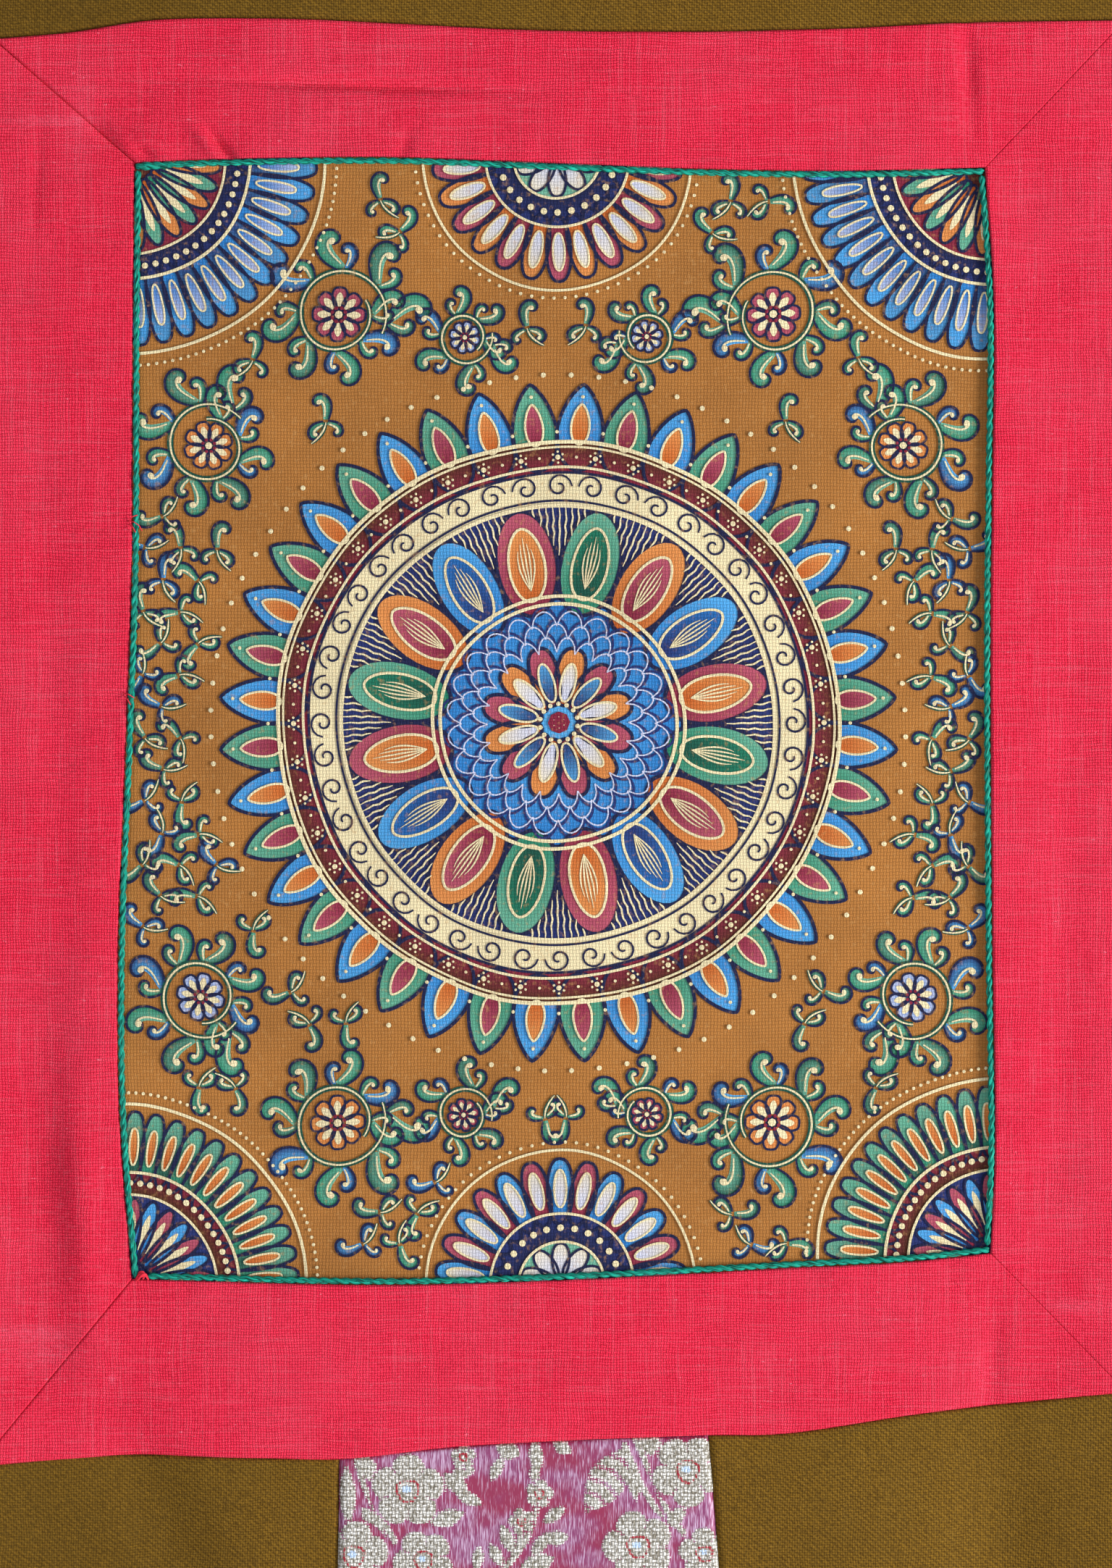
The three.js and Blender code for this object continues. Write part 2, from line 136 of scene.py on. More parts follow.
def sewn_line(knots, shares):
    """A smooth hand-sewn line through its knots, at shares of its length."""
    p = np.array(knots, float)
    if len(p) > 2:
        p = np.vstack([2 * p[0] - p[1], p, 2 * p[-1] - p[-2]])
        gap = np.sqrt(np.linalg.norm(np.diff(p, axis=0), axis=1))[:, None]
        before, after = np.diff(p, axis=0)[:-1] / gap[:-1], np.diff(p, axis=0)[1:] / gap[1:]
        slope = before + after - (p[2:] - p[:-2]) / (gap[:-1] + gap[1:])
        t = np.linspace(0, 1, 40)[:, None]
        arcs = [
            (2 * t**3 - 3 * t**2 + 1) * a
            + (t**3 - 2 * t**2 + t) * g * slope_a
            + (3 * t**2 - 2 * t**3) * b
            + (t**3 - t**2) * g * slope_b
            for a, b, slope_a, slope_b, g in zip(p[1:-2], p[2:-1], slope[:-1], slope[1:], gap[1:-1])
        ]
        p = np.vstack(arcs)
    run = np.concatenate([[0], np.cumsum(np.linalg.norm(np.diff(p, axis=0), axis=1))])
    return np.stack([np.interp(np.asarray(shares) * run[-1], run, p[:, k]) for k in (0, 1)], axis=-1)


def length_of(knots):
    """Length of a sewn line, in mm."""
    points = sewn_line(knots, np.linspace(0, 1, 200))
    return np.linalg.norm(np.diff(points, axis=0), axis=1).sum()


def cut(top, bottom, left, right, pitch):
    """A piece of cloth between four lines, as rows of points from top to bottom, closer at its edges."""

    def shares(one, other):
        """Shares of two facing sides at which the cloth has its points."""
        length = (length_of(one) + length_of(other)) / 2
        cells = max(2, round((length - 2 * EDGE_STEPS[-1]) / pitch))
        inner = np.linspace(EDGE_STEPS[-1], length - EDGE_STEPS[-1], cells + 1)
        return np.concatenate([EDGE_STEPS[:-1], inner, (length - EDGE_STEPS[:-1])[::-1]]) / length

    u, v = shares(top, bottom), shares(left, right)
    t, b = sewn_line(top, u)[None, :], sewn_line(bottom, u)[None, :]
    lt, rt = sewn_line(left, v)[:, None], sewn_line(right, v)[:, None]
    u, v = u[None, :, None], v[:, None, None]
    corners = (1 - v) * ((1 - u) * t[:, :1] + u * t[:, -1:]) + v * ((1 - u) * b[:, :1] + u * b[:, -1:])
    return (1 - v) * t + v * b + (1 - u) * lt + u * rt - corners


def new_piece(name, points, faces, material):
    """A new object from points in metres, the only one selected."""
    mesh = bpy.data.meshes.new(name)
    mesh.from_pydata(points.reshape(-1, 3).tolist(), [], faces)
    mesh.materials.append(material)
    piece = bpy.data.objects.new(name, mesh)
    bpy.context.scene.collection.objects.link(piece)
    for other in bpy.context.selected_objects:
        other.select_set(False)
    piece.select_set(True)
    bpy.context.view_layer.objects.active = piece
    return piece


def grid_faces(rows, columns):
    """Faces of a grid of points, laid row by row from the top left, that face the viewer."""
    corner = (np.arange(rows - 1)[:, None] * columns + np.arange(columns - 1)[None, :]).ravel()
    return np.stack([corner, corner + columns, corner + columns + 1, corner + 1], axis=1)


def edge_of(grid, side):
    """The row or column along one side of a grid."""
    return {"top": grid[:1], "bottom": grid[-1:], "left": grid[:, :1], "right": grid[:, -1:]}[side]


def run_on(grid, side, change=0.0):
    """A grid with one more row or column past a side: its last one, with a change."""
    more = edge_of(grid, side) + change
    parts = (more, grid) if side in ("top", "left") else (grid, more)
    return np.concatenate(parts, axis=0 if side in ("top", "bottom") else 1)


def cloth_sheet(
    name, plan, front, rolls, thickness, material, relief=0.0, marks=None, back=None, allowances=()
):
    """A sheet of cloth over its plan, with the edges named in rolls turned back by their radius in mm, seam
    allowances on the sides named, and marks for its material: values at each point of the plan."""
    marks = marks or {}
    dip = np.zeros(plan.shape[:2])
    for side, radius in rolls.items():
        near = np.clip(radius - np.linalg.norm(plan - edge_of(plan, side), axis=2), 0, radius)
        dip = np.maximum(dip, radius - np.sqrt(radius**2 - near**2))
    lift = front + relief - dip
    for side in allowances:
        seam = edge_of(plan, side)
        trim = ALLOWANCE_TRIM * (seam.mean(axis=(0, 1)) - seam)
        plan = run_on(plan, side, ALLOWANCE * np.array(OUTWARD[side]) + trim)
        lift = run_on(lift, side, -ALLOWANCE_DROP)
        marks = {mark: run_on(values, side) for mark, values in marks.items()}
    points = hung(plan[..., 0], plan[..., 1], lift)
    piece = new_piece(name, points, grid_faces(*plan.shape[:2]).tolist(), material)
    for mark, values in marks.items():
        piece.data.attributes.new(mark, "FLOAT", "POINT").data.foreach_set("value", values.ravel())
    body = piece.modifiers.new("thickness", "SOLIDIFY")
    body.thickness = thickness * MM
    body.offset = -1
    if back:
        piece.data.materials.append(back)
        body.material_offset = body.material_offset_rim = 1
    bpy.ops.object.modifier_apply(modifier=body.name)
    bpy.ops.object.shade_smooth_by_angle(angle=math.radians(SHARPEST_BEND))
    return piece


def linear(code):
    """Linear colour from an sRGB hex value."""
    parts = [int(code[n : n + 2], 16) / 255 for n in (1, 3, 5)]
    return tuple(c / 12.92 if c <= 0.04045 else ((c + 0.055) / 1.055) ** 2.4 for c in parts) + (1.0,)


def add(tree, kind, inputs, out=0, **settings):
    """Adds a shader node with its settings, values and links, and gives one of its outputs."""
    node = tree.nodes.new("ShaderNode" + kind)
    for name, value in settings.items():
        setattr(node, name, value)
    for socket, value in inputs.items():
        if isinstance(value, bpy.types.NodeSocket):
            tree.links.new(value, node.inputs[socket])
        else:
            node.inputs[socket].default_value = value
    return node.outputs[out]


def new_material(name):
    """A new material, with its nodes and its surface shader."""
    material = bpy.data.materials.new(name)
    material.use_nodes = True
    tree = material.node_tree
    return material, tree, tree.nodes["Principled BSDF"]


def plain_weave(tree, spacing, wander):
    """Height of a plain weave, 0 between the threads and 1 on top of one, and the place it is read at.
    The threads' spacing and how far they wander are in mm."""
    place = add(tree, "TexCoord", {}, "Object")
    drift = add(tree, "TexNoise", {"Vector": place, "Scale": 1 / (14 * MM), "Detail": 2.0}, "Color")
    shift = add(tree, "VectorMath", {0: drift, 1: (wander * MM,) * 3}, operation="MULTIPLY")
    moved = add(tree, "VectorMath", {0: place, 1: shift}, operation="ADD")
    turned = add(tree, "VectorMath", {0: moved, 1: (math.pi / (spacing * MM),) * 3}, operation="MULTIPLY")
    axes = add(tree, "SeparateXYZ", {0: turned}).node.outputs
    warp, weft = (add(tree, "Math", {0: axes[axis]}, operation="SINE") for axis in ("X", "Z"))
    over = add(tree, "Math", {0: warp, 1: weft}, operation="MULTIPLY")
    warp_up = add(tree, "MapRange", {"Value": over, "From Min": -0.35, "From Max": 0.35})
    weft_up = add(tree, "Math", {0: 1.0, 1: warp_up}, operation="SUBTRACT")
    tops = []
    for wave, up in ((warp, warp_up), (weft, weft_up)):
        thread = add(tree, "Math", {0: wave}, operation="ABSOLUTE")
        tops.append(add(tree, "Math", {0: thread, 1: up}, operation="MULTIPLY"))
    return add(tree, "Math", {0: tops[0], 1: tops[1]}, operation="MAXIMUM"), place


def finish_surface(tree, shader, colour, roughness, specular, height, depth, strength):
    """Gives a surface its colour and sheen, and a relief from a height, depth mm deep."""
    bump = add(tree, "Bump", {"Height": height, "Distance": depth * MM, "Strength": strength})
    tree.links.new(colour, shader.inputs["Base Color"])
    tree.links.new(bump, shader.inputs["Normal"])
    shader.inputs["Roughness"].default_value = roughness
    shader.inputs["Specular IOR Level"].default_value = specular


def paint_on_cotton(name, colour):
    """Mineral paint in glue on cotton canvas: matt, thin enough to show the threads in relief and in painted
    shade between them, rubbed in places.
    colour is a hex value, or the name of the piece's own colour attribute. The threads, 0.55 mm apart
    on the real cloth, are drawn wider so that they show."""
    material, tree, shader = new_material(name)
    weave, place = plain_weave(tree, CANVAS_WEAVE, 1.2)
    if colour.startswith("#"):
        base = linear(colour)
    else:
        base = add(tree, "Attribute", {}, attribute_name=colour)
    wash = add(tree, "TexNoise", {"Vector": place, "Scale": 1 / (22 * MM), "Detail": 5.0, "Roughness": 0.6})
    shade = add(
        tree, "MapRange", {"Value": wash, "From Min": 0.3, "From Max": 0.7, "To Min": 0.84, "To Max": 1.12}
    )
    # painted shade between the canvas threads and lighter thread tops, multiplied into the paint
    thread = add(tree, "MapRange", {"Value": weave, "To Min": 0.72, "To Max": 1.08})
    tone_and_thread_shade = add(tree, "Math", {0: shade, 1: thread}, operation="MULTIPLY")
    painted = add(tree, "Mix", {6: base, 7: tone_and_thread_shade, "Factor": 1.0}, 2, data_type="RGBA", blend_type="MULTIPLY")
    grain = add(tree, "TexNoise", {"Vector": place, "Scale": 1 / (1.1 * MM), "Detail": 3.0})
    rubbed = add(tree, "MapRange", {"Value": grain, "From Min": 0.56, "From Max": 0.78, "To Max": 0.45})
    worn = add(tree, "Mix", {6: painted, 7: linear("#b98a52"), "Factor": rubbed}, 2, data_type="RGBA")
    finish_surface(tree, shader, worn, 0.85, 0.25, weave, 0.14, 0.7)
    return material


def moved_out(knots, dx, dz):
    """A window edge moved out by the tuck, its end corners moved both ways."""
    inner = [(x + dx * CANVAS_TUCK, z + dz * CANVAS_TUCK) for x, z in knots[1:-1]]
    ends = knots[0], knots[-1]
    first, last = ((x + math.copysign(CANVAS_TUCK, x), z + math.copysign(CANVAS_TUCK, z)) for x, z in ends)
    return (first, *inner, last)


canvas_plan = cut(
    moved_out(WINDOW_TOP, 0, 1),
    moved_out(WINDOW_BOTTOM, 0, -1),
    moved_out(WINDOW_LEFT, -1, 0),
    moved_out(WINDOW_RIGHT, 1, 0),
    pitch=CANVAS_PITCH,
)
ochre_ground = paint_on_cotton("ochre ground on cotton", "#a56c31")
bare_cotton = paint_on_cotton("bare sized cotton", "#c9b692")
canvas = cloth_sheet(
    "canvas", canvas_plan, CANVAS_FRONT, {}, CANVAS_THICKNESS, ochre_ground, back=bare_cotton
)
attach(canvas, "root")
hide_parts("painting")


# Picture: a wheel of lotus petals with corner fans, half rosettes and leafy scrolls, painted in mineral
# colours mixed with glue. Broad fields are laid first, then petals, then dark lines, gold lines and dots.
PAINTS = {
    "gold": "#e3d3a6", "navy": "#232f66", "ink": "#181d40", "blue": "#1f6fb5", "sky": "#55a6da",
    "green": "#1b7a5c", "leaf": "#6fae93", "pine": "#134a3c", "crimson": "#7f2138", "rose": "#b9586b",
    "orange": "#b9591f", "apricot": "#dc9350", "lilac": "#c3c6db", "brown": "#4a2712",
}
COATS = ("fields", "grounds", "petals", "inner_petals", "ink_lines", "gold_lines", "gold_dots")
COAT_LIFT = 0.06  # mm that each coat stands in front of the one before
BRUSH_LIFT = 0.004  # mm between neighbouring strokes of one coat
BRUSH_WANDER = 0.22  # mm that a line drawn by hand wanders
CANVAS_SPAN = 276  # mm, side of the square on which the coats are laid out flat
CANVAS_CORNER = (0.5, 1.43)  # shares of that square from its lower left corner to the part's origin
FULL, HALF, QUARTER = 2 * math.pi, math.pi, math.pi / 2
PETAL_GRID = (15, 7)  # points along and across
CURL_GRID = (24, 5)
ARC_STEP = 1.2  # mm between points of a round line
DOT_SIDES = 8
coats = {name: dict(points=[], faces=[], colours=[], count=0) for name in COATS}


def tint(name):
    """One of the paints as a linear colour."""
    return np.array(linear(PAINTS[name]))


def polar(x, z, radius, turn):
    """Points at a radius and turn round a centre."""
    return np.stack([x + radius * np.cos(turn), z + radius * np.sin(turn)], axis=-1)


def lay(coat, points, faces, colours, raised=0.0):
    """Adds painted faces to a coat, from points in mm, wandering a little as a brush does."""
    store = coats[coat]
    x, z = points[:, 0], points[:, 1]
    sway_x = np.sin(z / 9.1 + 1.3) + 0.6 * np.sin(x / 5.3 + z / 7.7)
    sway_z = np.sin(x / 8.3 + 0.4) + 0.6 * np.sin(z / 4.9 - x / 6.1)
    lift = COAT_LIFT * (1 + COATS.index(coat)) + BRUSH_LIFT * (len(store["points"]) % 8)
    store["points"].append(
        hung(x + BRUSH_WANDER * sway_x, z + BRUSH_WANDER * sway_z, CANVAS_FRONT + lift + raised)
    )
    store["faces"] += (faces + store["count"]).tolist()
    store["colours"].append(np.broadcast_to(colours, (len(points), 4)))
    store["count"] += len(points)


def blend(colours, share):
    """A share of the second paint in the first."""
    return tint(colours[0]) * (1 - share[..., None]) + tint(colours[1]) * share[..., None]


def stroke(path, width, colour, taper=0.0):
    """A brush line along a path, with a low ridge of paint along its middle."""
    along = np.gradient(path, axis=0)
    along /= np.linalg.norm(along, axis=1)[:, None] + 1e-9
    half = width / 2 * (1 - taper * np.abs(np.linspace(-1, 1, len(path))) ** 2)[:, None]
    side = np.stack([-along[:, 1], along[:, 0]], axis=1) * half
    rows = np.stack([path + side, path, path - side], axis=1).reshape(-1, 2)
    ridge = np.tile([0, 0.05 if colour == "gold" else 0.02, 0], len(path))
    coat = "gold_lines" if colour in ("gold", "lilac") else "ink_lines"
    lay(coat, rows, grid_faces(len(path), 3), tint(colour), ridge)


def petal(coat, x, z, turn, root, tip, half, colours, sharp=0.6, line="ink", width=0.65):
    """A petal that points along turn, shaded from its root to its tip and rim, with an outline."""
    s = (1 - np.cos(np.linspace(0, HALF, PETAL_GRID[0])))[:, None] / 2
    t = np.linspace(-1, 1, PETAL_GRID[1])[None, :]
    widest = 0.5 / (0.5 + sharp)
    across = half * t * s**0.5 * (1 - s) ** sharp / (widest**0.5 * (1 - widest) ** sharp)
    along = root + (tip - root) * s
    grid = (
        (x, z) + along[..., None] * polar(0, 0, 1, turn) + across[..., None] * polar(0, 0, 1, turn + QUARTER)
    )
    fill = blend(colours, s**1.3 * 0.75 + 0.25 * np.abs(t) ** 3)
    lay(coat, grid.reshape(-1, 2), grid_faces(*PETAL_GRID), fill.reshape(-1, 4))
    if line:
        stroke(np.vstack([grid[:, 0], grid[-2::-1, -1]]), width, line)


def petal_ring(coat, x, z, count, root, tip, half, pairs, start=0.0, sweep=FULL, **shape):
    """Petals side by side round a centre, by turns in each pair of colours."""
    for n in range(count):
        petal(coat, x, z, start + (n + 0.5) * sweep / count, root, tip, half, pairs[n % len(pairs)], **shape)


def arc(x, z, radius, start=0.0, sweep=FULL):
    """Points along a round line, or a part of one."""
    steps = max(8, round(radius * sweep / ARC_STEP))
    return polar(x, z, radius, start + np.linspace(0, 1, steps + 1) * sweep)


def band(x, z, inner, outer, colours, start=0.0, sweep=FULL):
    """A round band or disc, or a part of one, shaded outwards."""
    turns = start + np.linspace(0, 1, max(12, round(outer * sweep / 2)) + 1)[None, :] * sweep
    radii = np.linspace(inner, outer, max(2, round((outer - inner) / 3)) + 1)[:, None]
    grid = polar(x, z, radii, turns)
    fill = blend(colours, (radii - inner) / (outer - inner) + 0 * turns)
    lay("grounds", grid.reshape(-1, 2), grid_faces(*grid.shape[:2])[:, ::-1], fill.reshape(-1, 4))


def dots(centres, radius, colour="gold"):
    """Round dots of thick paint, each a low dome."""
    around = np.arange(DOT_SIDES)
    ring = polar(0, 0, radius, around * FULL / DOT_SIDES)
    faces = np.stack([0 * around, 1 + around, 1 + (around + 1) % DOT_SIDES], axis=1)
    dome = np.array([0.1] + [0.0] * DOT_SIDES)
    for centre in np.asarray(centres, float):
        lay("gold_dots", np.vstack([centre, centre + ring]), faces, tint(colour), dome)


def beads(x, z, radius, count, size, start=0.0, sweep=FULL, colour="gold"):
    """Dots evenly round a centre."""
    dots(polar(x, z, radius, start + (np.arange(count) + 0.5) * sweep / count), size, colour)


def curl(x, z, turn, size, hand, colours):
    """A comma-shaped leaf that leaves its stem along turn and rolls in on itself."""
    s, across = np.linspace(0, 1, CURL_GRID[0]), np.linspace(-1, 1, CURL_GRID[1])
    heading = turn + hand * (6.4 * s**1.8 - 0.5 * np.sin(HALF * s))
    step = size * (1.9 - 1.4 * s) / (len(s) - 1)
    path = (x, z) + np.cumsum(polar(0, 0, step, heading), axis=0)
    half = size * (0.13 * np.sin(HALF * np.clip(1.05 * s + 0.1, 0, 1)) ** 0.8 + 0.03)
    grid = path[:, None] + polar(0, 0, half, heading + QUARTER)[:, None] * across[None, :, None]
    fill = blend(colours, (across[None, :] * hand + 1) / 2 + 0 * s[:, None])
    lay("fields", grid.reshape(-1, 2), grid_faces(*CURL_GRID), fill.reshape(-1, 4))
    outer, inner = (grid[:, 0], grid[:, -1]) if hand > 0 else (grid[:, -1], grid[:, 0])
    stroke(outer, 0.6, "ink", 0.3)
    stroke((path + inner)[1:-1] / 2, 0.5, "gold", 0.4)
    dots(path[-1:], size * 0.06)


def leafy_stem(path, leaves, size, side, greens):
    """A stem with curled leaves to one side at even steps, each large one with a small one behind it."""
    stroke(path, 1.5, "pine", 0.3)
    stroke(path, 0.45, "gold", 0.3)
    for n, share in enumerate((np.arange(leaves) + 0.4) / leaves):
        k = int(share * (len(path) - 2))
        dx, dz = path[k + 1] - path[k]
        heading = math.atan2(dz, dx)
        reach = size * (1.05 - 0.25 * share)
        curl(*path[k], heading + side * 0.7, reach, side, greens[n % len(greens)])
        curl(*path[k], heading + side * 2.0, reach * 0.6, -side, greens[(n + 1) % len(greens)])


def spray(x, z, turn, size, hand, colours):
    """Three curled leaves from one root, the longest along turn, and the stem that brings them."""
    s = np.linspace(-1, 0, 10)[:, None]
    way, side = polar(0, 0, 1, turn), polar(0, 0, 1, turn + QUARTER)
    stem = (x, z) + size * (0.7 * s * way + 0.4 * hand * s**2 * side)
    stroke(stem, 1.1, "pine", 0.5)
    stroke(stem, 0.4, "gold", 0.5)
    for lean, share, roll in ((0, 1, hand), (2.1, 0.75, hand), (-1.8, 0.68, -hand)):
        curl(x, z, turn + lean * hand, size * share, roll, colours)


def spiral(x, z, turn, size, hand, colour, width):
    """A line that rolls in on itself, with its outer end at turn round its middle."""
    s = np.linspace(0, 1, 20)
    stroke(polar(x, z, size * (1 - 0.85 * s), turn + hand * 8.2 * s), width, colour, 0.2)


def floret(x, z, size):
    """A dot with six smaller ones round it."""
    dots([(x, z)], size)
    beads(x, z, size * 2.1, 6, size * 0.48)


def blossom(x, z, radius, pairs, start):
    """A round flower of eight petals with a dotted eye."""
    band(x, z, 0, radius * 0.85, ("ink", "ink"))
    petal_ring("petals", x, z, 8, radius * 0.2, radius, radius * 0.28, pairs, start, sharp=0.3, width=0.5)
    petal_ring(
        "inner_petals", x, z, 8, radius * 0.3, radius * 0.82, radius * 0.14, [("gold", "gold")], start,
        line=None,
    )
    beads(x, z, radius * 0.26, 8, radius * 0.07, colour="crimson")
    dots([(x, z)], radius * 0.15)


def scroll(x, z, radius, start, hand, leaves, pairs, greens):
    """A stem that winds in to a blossom, with curled leaves along its outer side."""
    s = np.linspace(0, 1, 90)
    path = polar(x, z, radius * (1 - 0.38 * s), start + hand * FULL * 1.15 * s)
    leafy_stem(path, leaves, 4.5 + radius * 0.66, -hand, greens)
    blossom(x, z, radius * 0.56, pairs, start)


def scales(x, z, radii, count, colour, width):
    """Rows of scallops round a centre, each row half a scallop on from the last."""
    share = np.linspace(0, 1, 9)
    for row, radius in enumerate(radii):
        for n in range(count):
            reach = radius + 3.4 * np.sin(HALF * share) ** 0.7
            stroke(polar(x, z, reach, (n + 0.5 * row + share) * FULL / count), width, colour, 0.2)


def lay_flat(piece, name, spots):
    """Gives a piece a flat map, from a spot for each of its points."""
    corner = np.zeros(len(piece.data.loops), dtype=int)
    piece.data.loops.foreach_get("vertex_index", corner)
    piece.data.uv_layers.new(name=name).uv.foreach_set("vector", spots[corner].ravel())


WHEEL = (0.5, 14)  # mm, middle of the wheel
LOTUS = [("crimson", "rose"), ("blue", "sky"), ("orange", "apricot"), ("green", "leaf")]
LOTUS_HEARTS = [("orange", "apricot"), ("navy", "blue"), ("crimson", "rose"), ("pine", "green")]
GREENS = [("green", "leaf"), ("pine", "leaf"), ("green", "leaf"), ("navy", "sky")]
WHEEL_BANDS = (  # inner and outer radius in mm, colours
    (57.6, 64.4, ("crimson", "brown")), (50, 57.6, ("gold", "gold")), (28, 50, ("ink", "navy")),
    (0, 28, ("sky", "blue")),
)
WHEEL_LINES = (  # radius and width in mm, colour
    (27.2, 0.8, "gold"), (29, 0.8, "gold"), (49.9, 0.9, "gold"), (51, 0.5, "ink"), (57.4, 0.6, "ink"),
    (58.7, 0.6, "gold"), (63.4, 0.5, "gold"), (64.6, 0.9, "gold"),
)
WHEEL_CURLS = 44
WHEEL_PETALS = 16

beads(*WHEEL, 80, 80, 0.6)
beads(*WHEEL, 75.2, 40, 0.42)
beads(*WHEEL, 67, 40, 0.42, start=HALF / 40)
petal_ring("fields", *WHEEL, 40, 58, 78, 5.3, [("green", "leaf"), ("blue", "sky")], sharp=0.75, width=0.8)
petal_ring(
    "inner_petals", *WHEEL, 40, 64, 73.5, 2.1, [("crimson", "rose"), ("orange", "apricot")],
    sharp=0.7, line="gold", width=0.5,
)
for inner, outer, colours in WHEEL_BANDS:
    band(*WHEEL, inner, outer, colours)
for radius, width, colour in WHEEL_LINES:
    stroke(arc(*WHEEL, radius), width, colour)
for n in range(WHEEL_CURLS):
    turn = n * FULL / WHEEL_CURLS
    hand = 1 if n % 2 else -1
    spiral(*polar(*WHEEL, 54.2, turn), turn - hand * QUARTER, 3.1, hand, "ink", 0.5)
    floret(*polar(*WHEEL, 61, turn), 0.62)
    dots([polar(*WHEEL, 61, turn + HALF / WHEEL_CURLS)], 0.36)
petal_ring("petals", *WHEEL, WHEEL_PETALS, 25, 49.5, 6.9, LOTUS, sharp=0.5, width=0.9)
petal_ring(
    "inner_petals", *WHEEL, WHEEL_PETALS, 28.5, 45.5, 4.1, LOTUS_HEARTS, sharp=0.55, line="gold", width=0.6
)
for n in range(WHEEL_PETALS):
    turn = (n + 0.5) * FULL / WHEEL_PETALS
    way, side = polar(0, 0, 1, turn), polar(0, 0, 1, turn + QUARTER)
    for lean in (-1.8, -0.9, 0, 0.9, 1.8):
        share = np.linspace(0, 1, 9)[:, None]
        vein = WHEEL + way * (31 + (12.5 - 1.6 * abs(lean)) * share) + side * lean * np.sin(2.2 * share)
        stroke(vein, 0.4, "gold", 0.7)
    gap = (n + 1) * FULL / WHEEL_PETALS
    for ray in range(-4, 5):
        reach = np.linspace(49.6, 38.6 + 2.25 * abs(ray), 7)
        stroke(polar(*WHEEL, reach, gap + ray * 0.031 + 0.004 * np.sin(reach * 1.7)), 0.45, "gold", 0.6)
scales(*WHEEL, (23.2, 20.2, 17.2), 24, "navy", 0.6)
scales(*WHEEL, (22.2, 19.2, 16.2), 24, "lilac", 0.35)
petal_ring(
    "petals", *WHEEL, 12, 4, 17.5, 3.3, [("orange", "apricot"), ("crimson", "rose")], sharp=0.35, width=0.8
)
petal_ring(
    "inner_petals", *WHEEL, 12, 5, 14, 1.7, [("lilac", "gold"), ("navy", "sky")],
    sharp=0.5, line="gold", width=0.5,
)
beads(*WHEEL, 4.4, 14, 0.55)
dots([WHEEL], 2.6, "crimson")
floret(*WHEEL, 0.62)

UNDER_BORDER = 1.6  # mm that the corner fans run on behind the border
FANS = (  # corners, quarter turns to their first edges, reach in mm, and the colours of each ring
    dict(
        corners=(WINDOW_TOP[0], WINDOW_TOP[-1]), first=(3, 2), reach=46,
        petals=[("blue", "sky"), ("navy", "sky")], heart=("blue", "lilac"),
        bands=(("ink", "navy"), ("brown", "crimson")), inner=[("orange", "apricot"), ("green", "leaf")],
    ),
    dict(
        corners=(WINDOW_BOTTOM[0], WINDOW_BOTTOM[-1]), first=(0, 1), reach=42,
        petals=[("green", "leaf"), ("pine", "leaf")], heart=("orange", "apricot"),
        bands=(("brown", "crimson"), ("ink", "navy")), inner=[("crimson", "rose"), ("blue", "sky")],
    ),
)
filled = [(*WHEEL, 82)]  # middle and reach of each round motif, which the leaves keep clear of
for fan in FANS:
    reach = fan["reach"]
    for (x, z), first in zip(fan["corners"], fan["first"]):
        at = (x + math.copysign(UNDER_BORDER, x), z + math.copysign(UNDER_BORDER, z))
        part = dict(start=first * QUARTER, sweep=QUARTER)
        filled.append((*at, reach * 1.07))
        petal_ring(
            "fields", *at, 12, reach * 0.56, reach * 0.95, reach * 0.056, fan["petals"], sharp=0.35, **part
        )
        petal_ring(
            "inner_petals", *at, 12, reach * 0.66, reach * 0.86, reach * 0.024, [fan["heart"]],
            sharp=0.4, line="gold", width=0.45, **part,
        )
        band(*at, reach * 0.5, reach * 0.62, fan["bands"][0], **part)
        band(*at, 0, reach * 0.5, fan["bands"][1], **part)
        petal_ring(
            "petals", *at, 7, reach * 0.14, reach * 0.475, reach * 0.046, fan["inner"], sharp=0.45, **part
        )
        petal_ring(
            "inner_petals", *at, 7, reach * 0.2, reach * 0.4, reach * 0.02, [("gold", "gold")],
            line=None, **part,
        )
        beads(*at, reach * 0.56, 16, 0.75, **part)
        beads(*at, reach * 1.05, 40, 0.4, **part)
        for share, width in ((0.495, 0.6), (0.62, 0.7), (0.99, 0.7)):
            stroke(arc(*at, reach * share, **part), width, "gold")

ROSETTES = (  # middle, first edge and colours of the half rosettes at the top and bottom edges
    (0.5, 144.6, HALF, [("crimson", "rose"), ("orange", "apricot")]),
    (1, -115.4, 0, [("blue", "sky"), ("crimson", "rose")]),
)
for x, z, start, pairs in ROSETTES:
    part = dict(start=start, sweep=HALF)
    filled.append((x, z, 34))
    petal_ring("fields", x, z, 13, 14, 29, 2.9, pairs, sharp=0.4, width=0.7, **part)
    petal_ring(
        "inner_petals", x, z, 13, 18, 26.5, 1.4, [("lilac", "gold")],
        sharp=0.5, line="gold", width=0.45, **part,
    )
    band(x, z, 10, 16.5, ("ink", "navy"), **part)
    band(x, z, 0, 10, ("green", "leaf"), **part)
    petal_ring("petals", x, z, 5, 1.5, 9.6, 2.0, [("lilac", "gold")], sharp=0.4, width=0.6, **part)
    beads(x, z, 13.3, 13, 0.8, **part)
    beads(x, z, 32.8, 40, 0.4, **part)
    for radius in (10, 16.6, 31):
        stroke(arc(x, z, radius, **part), 0.6, "gold")

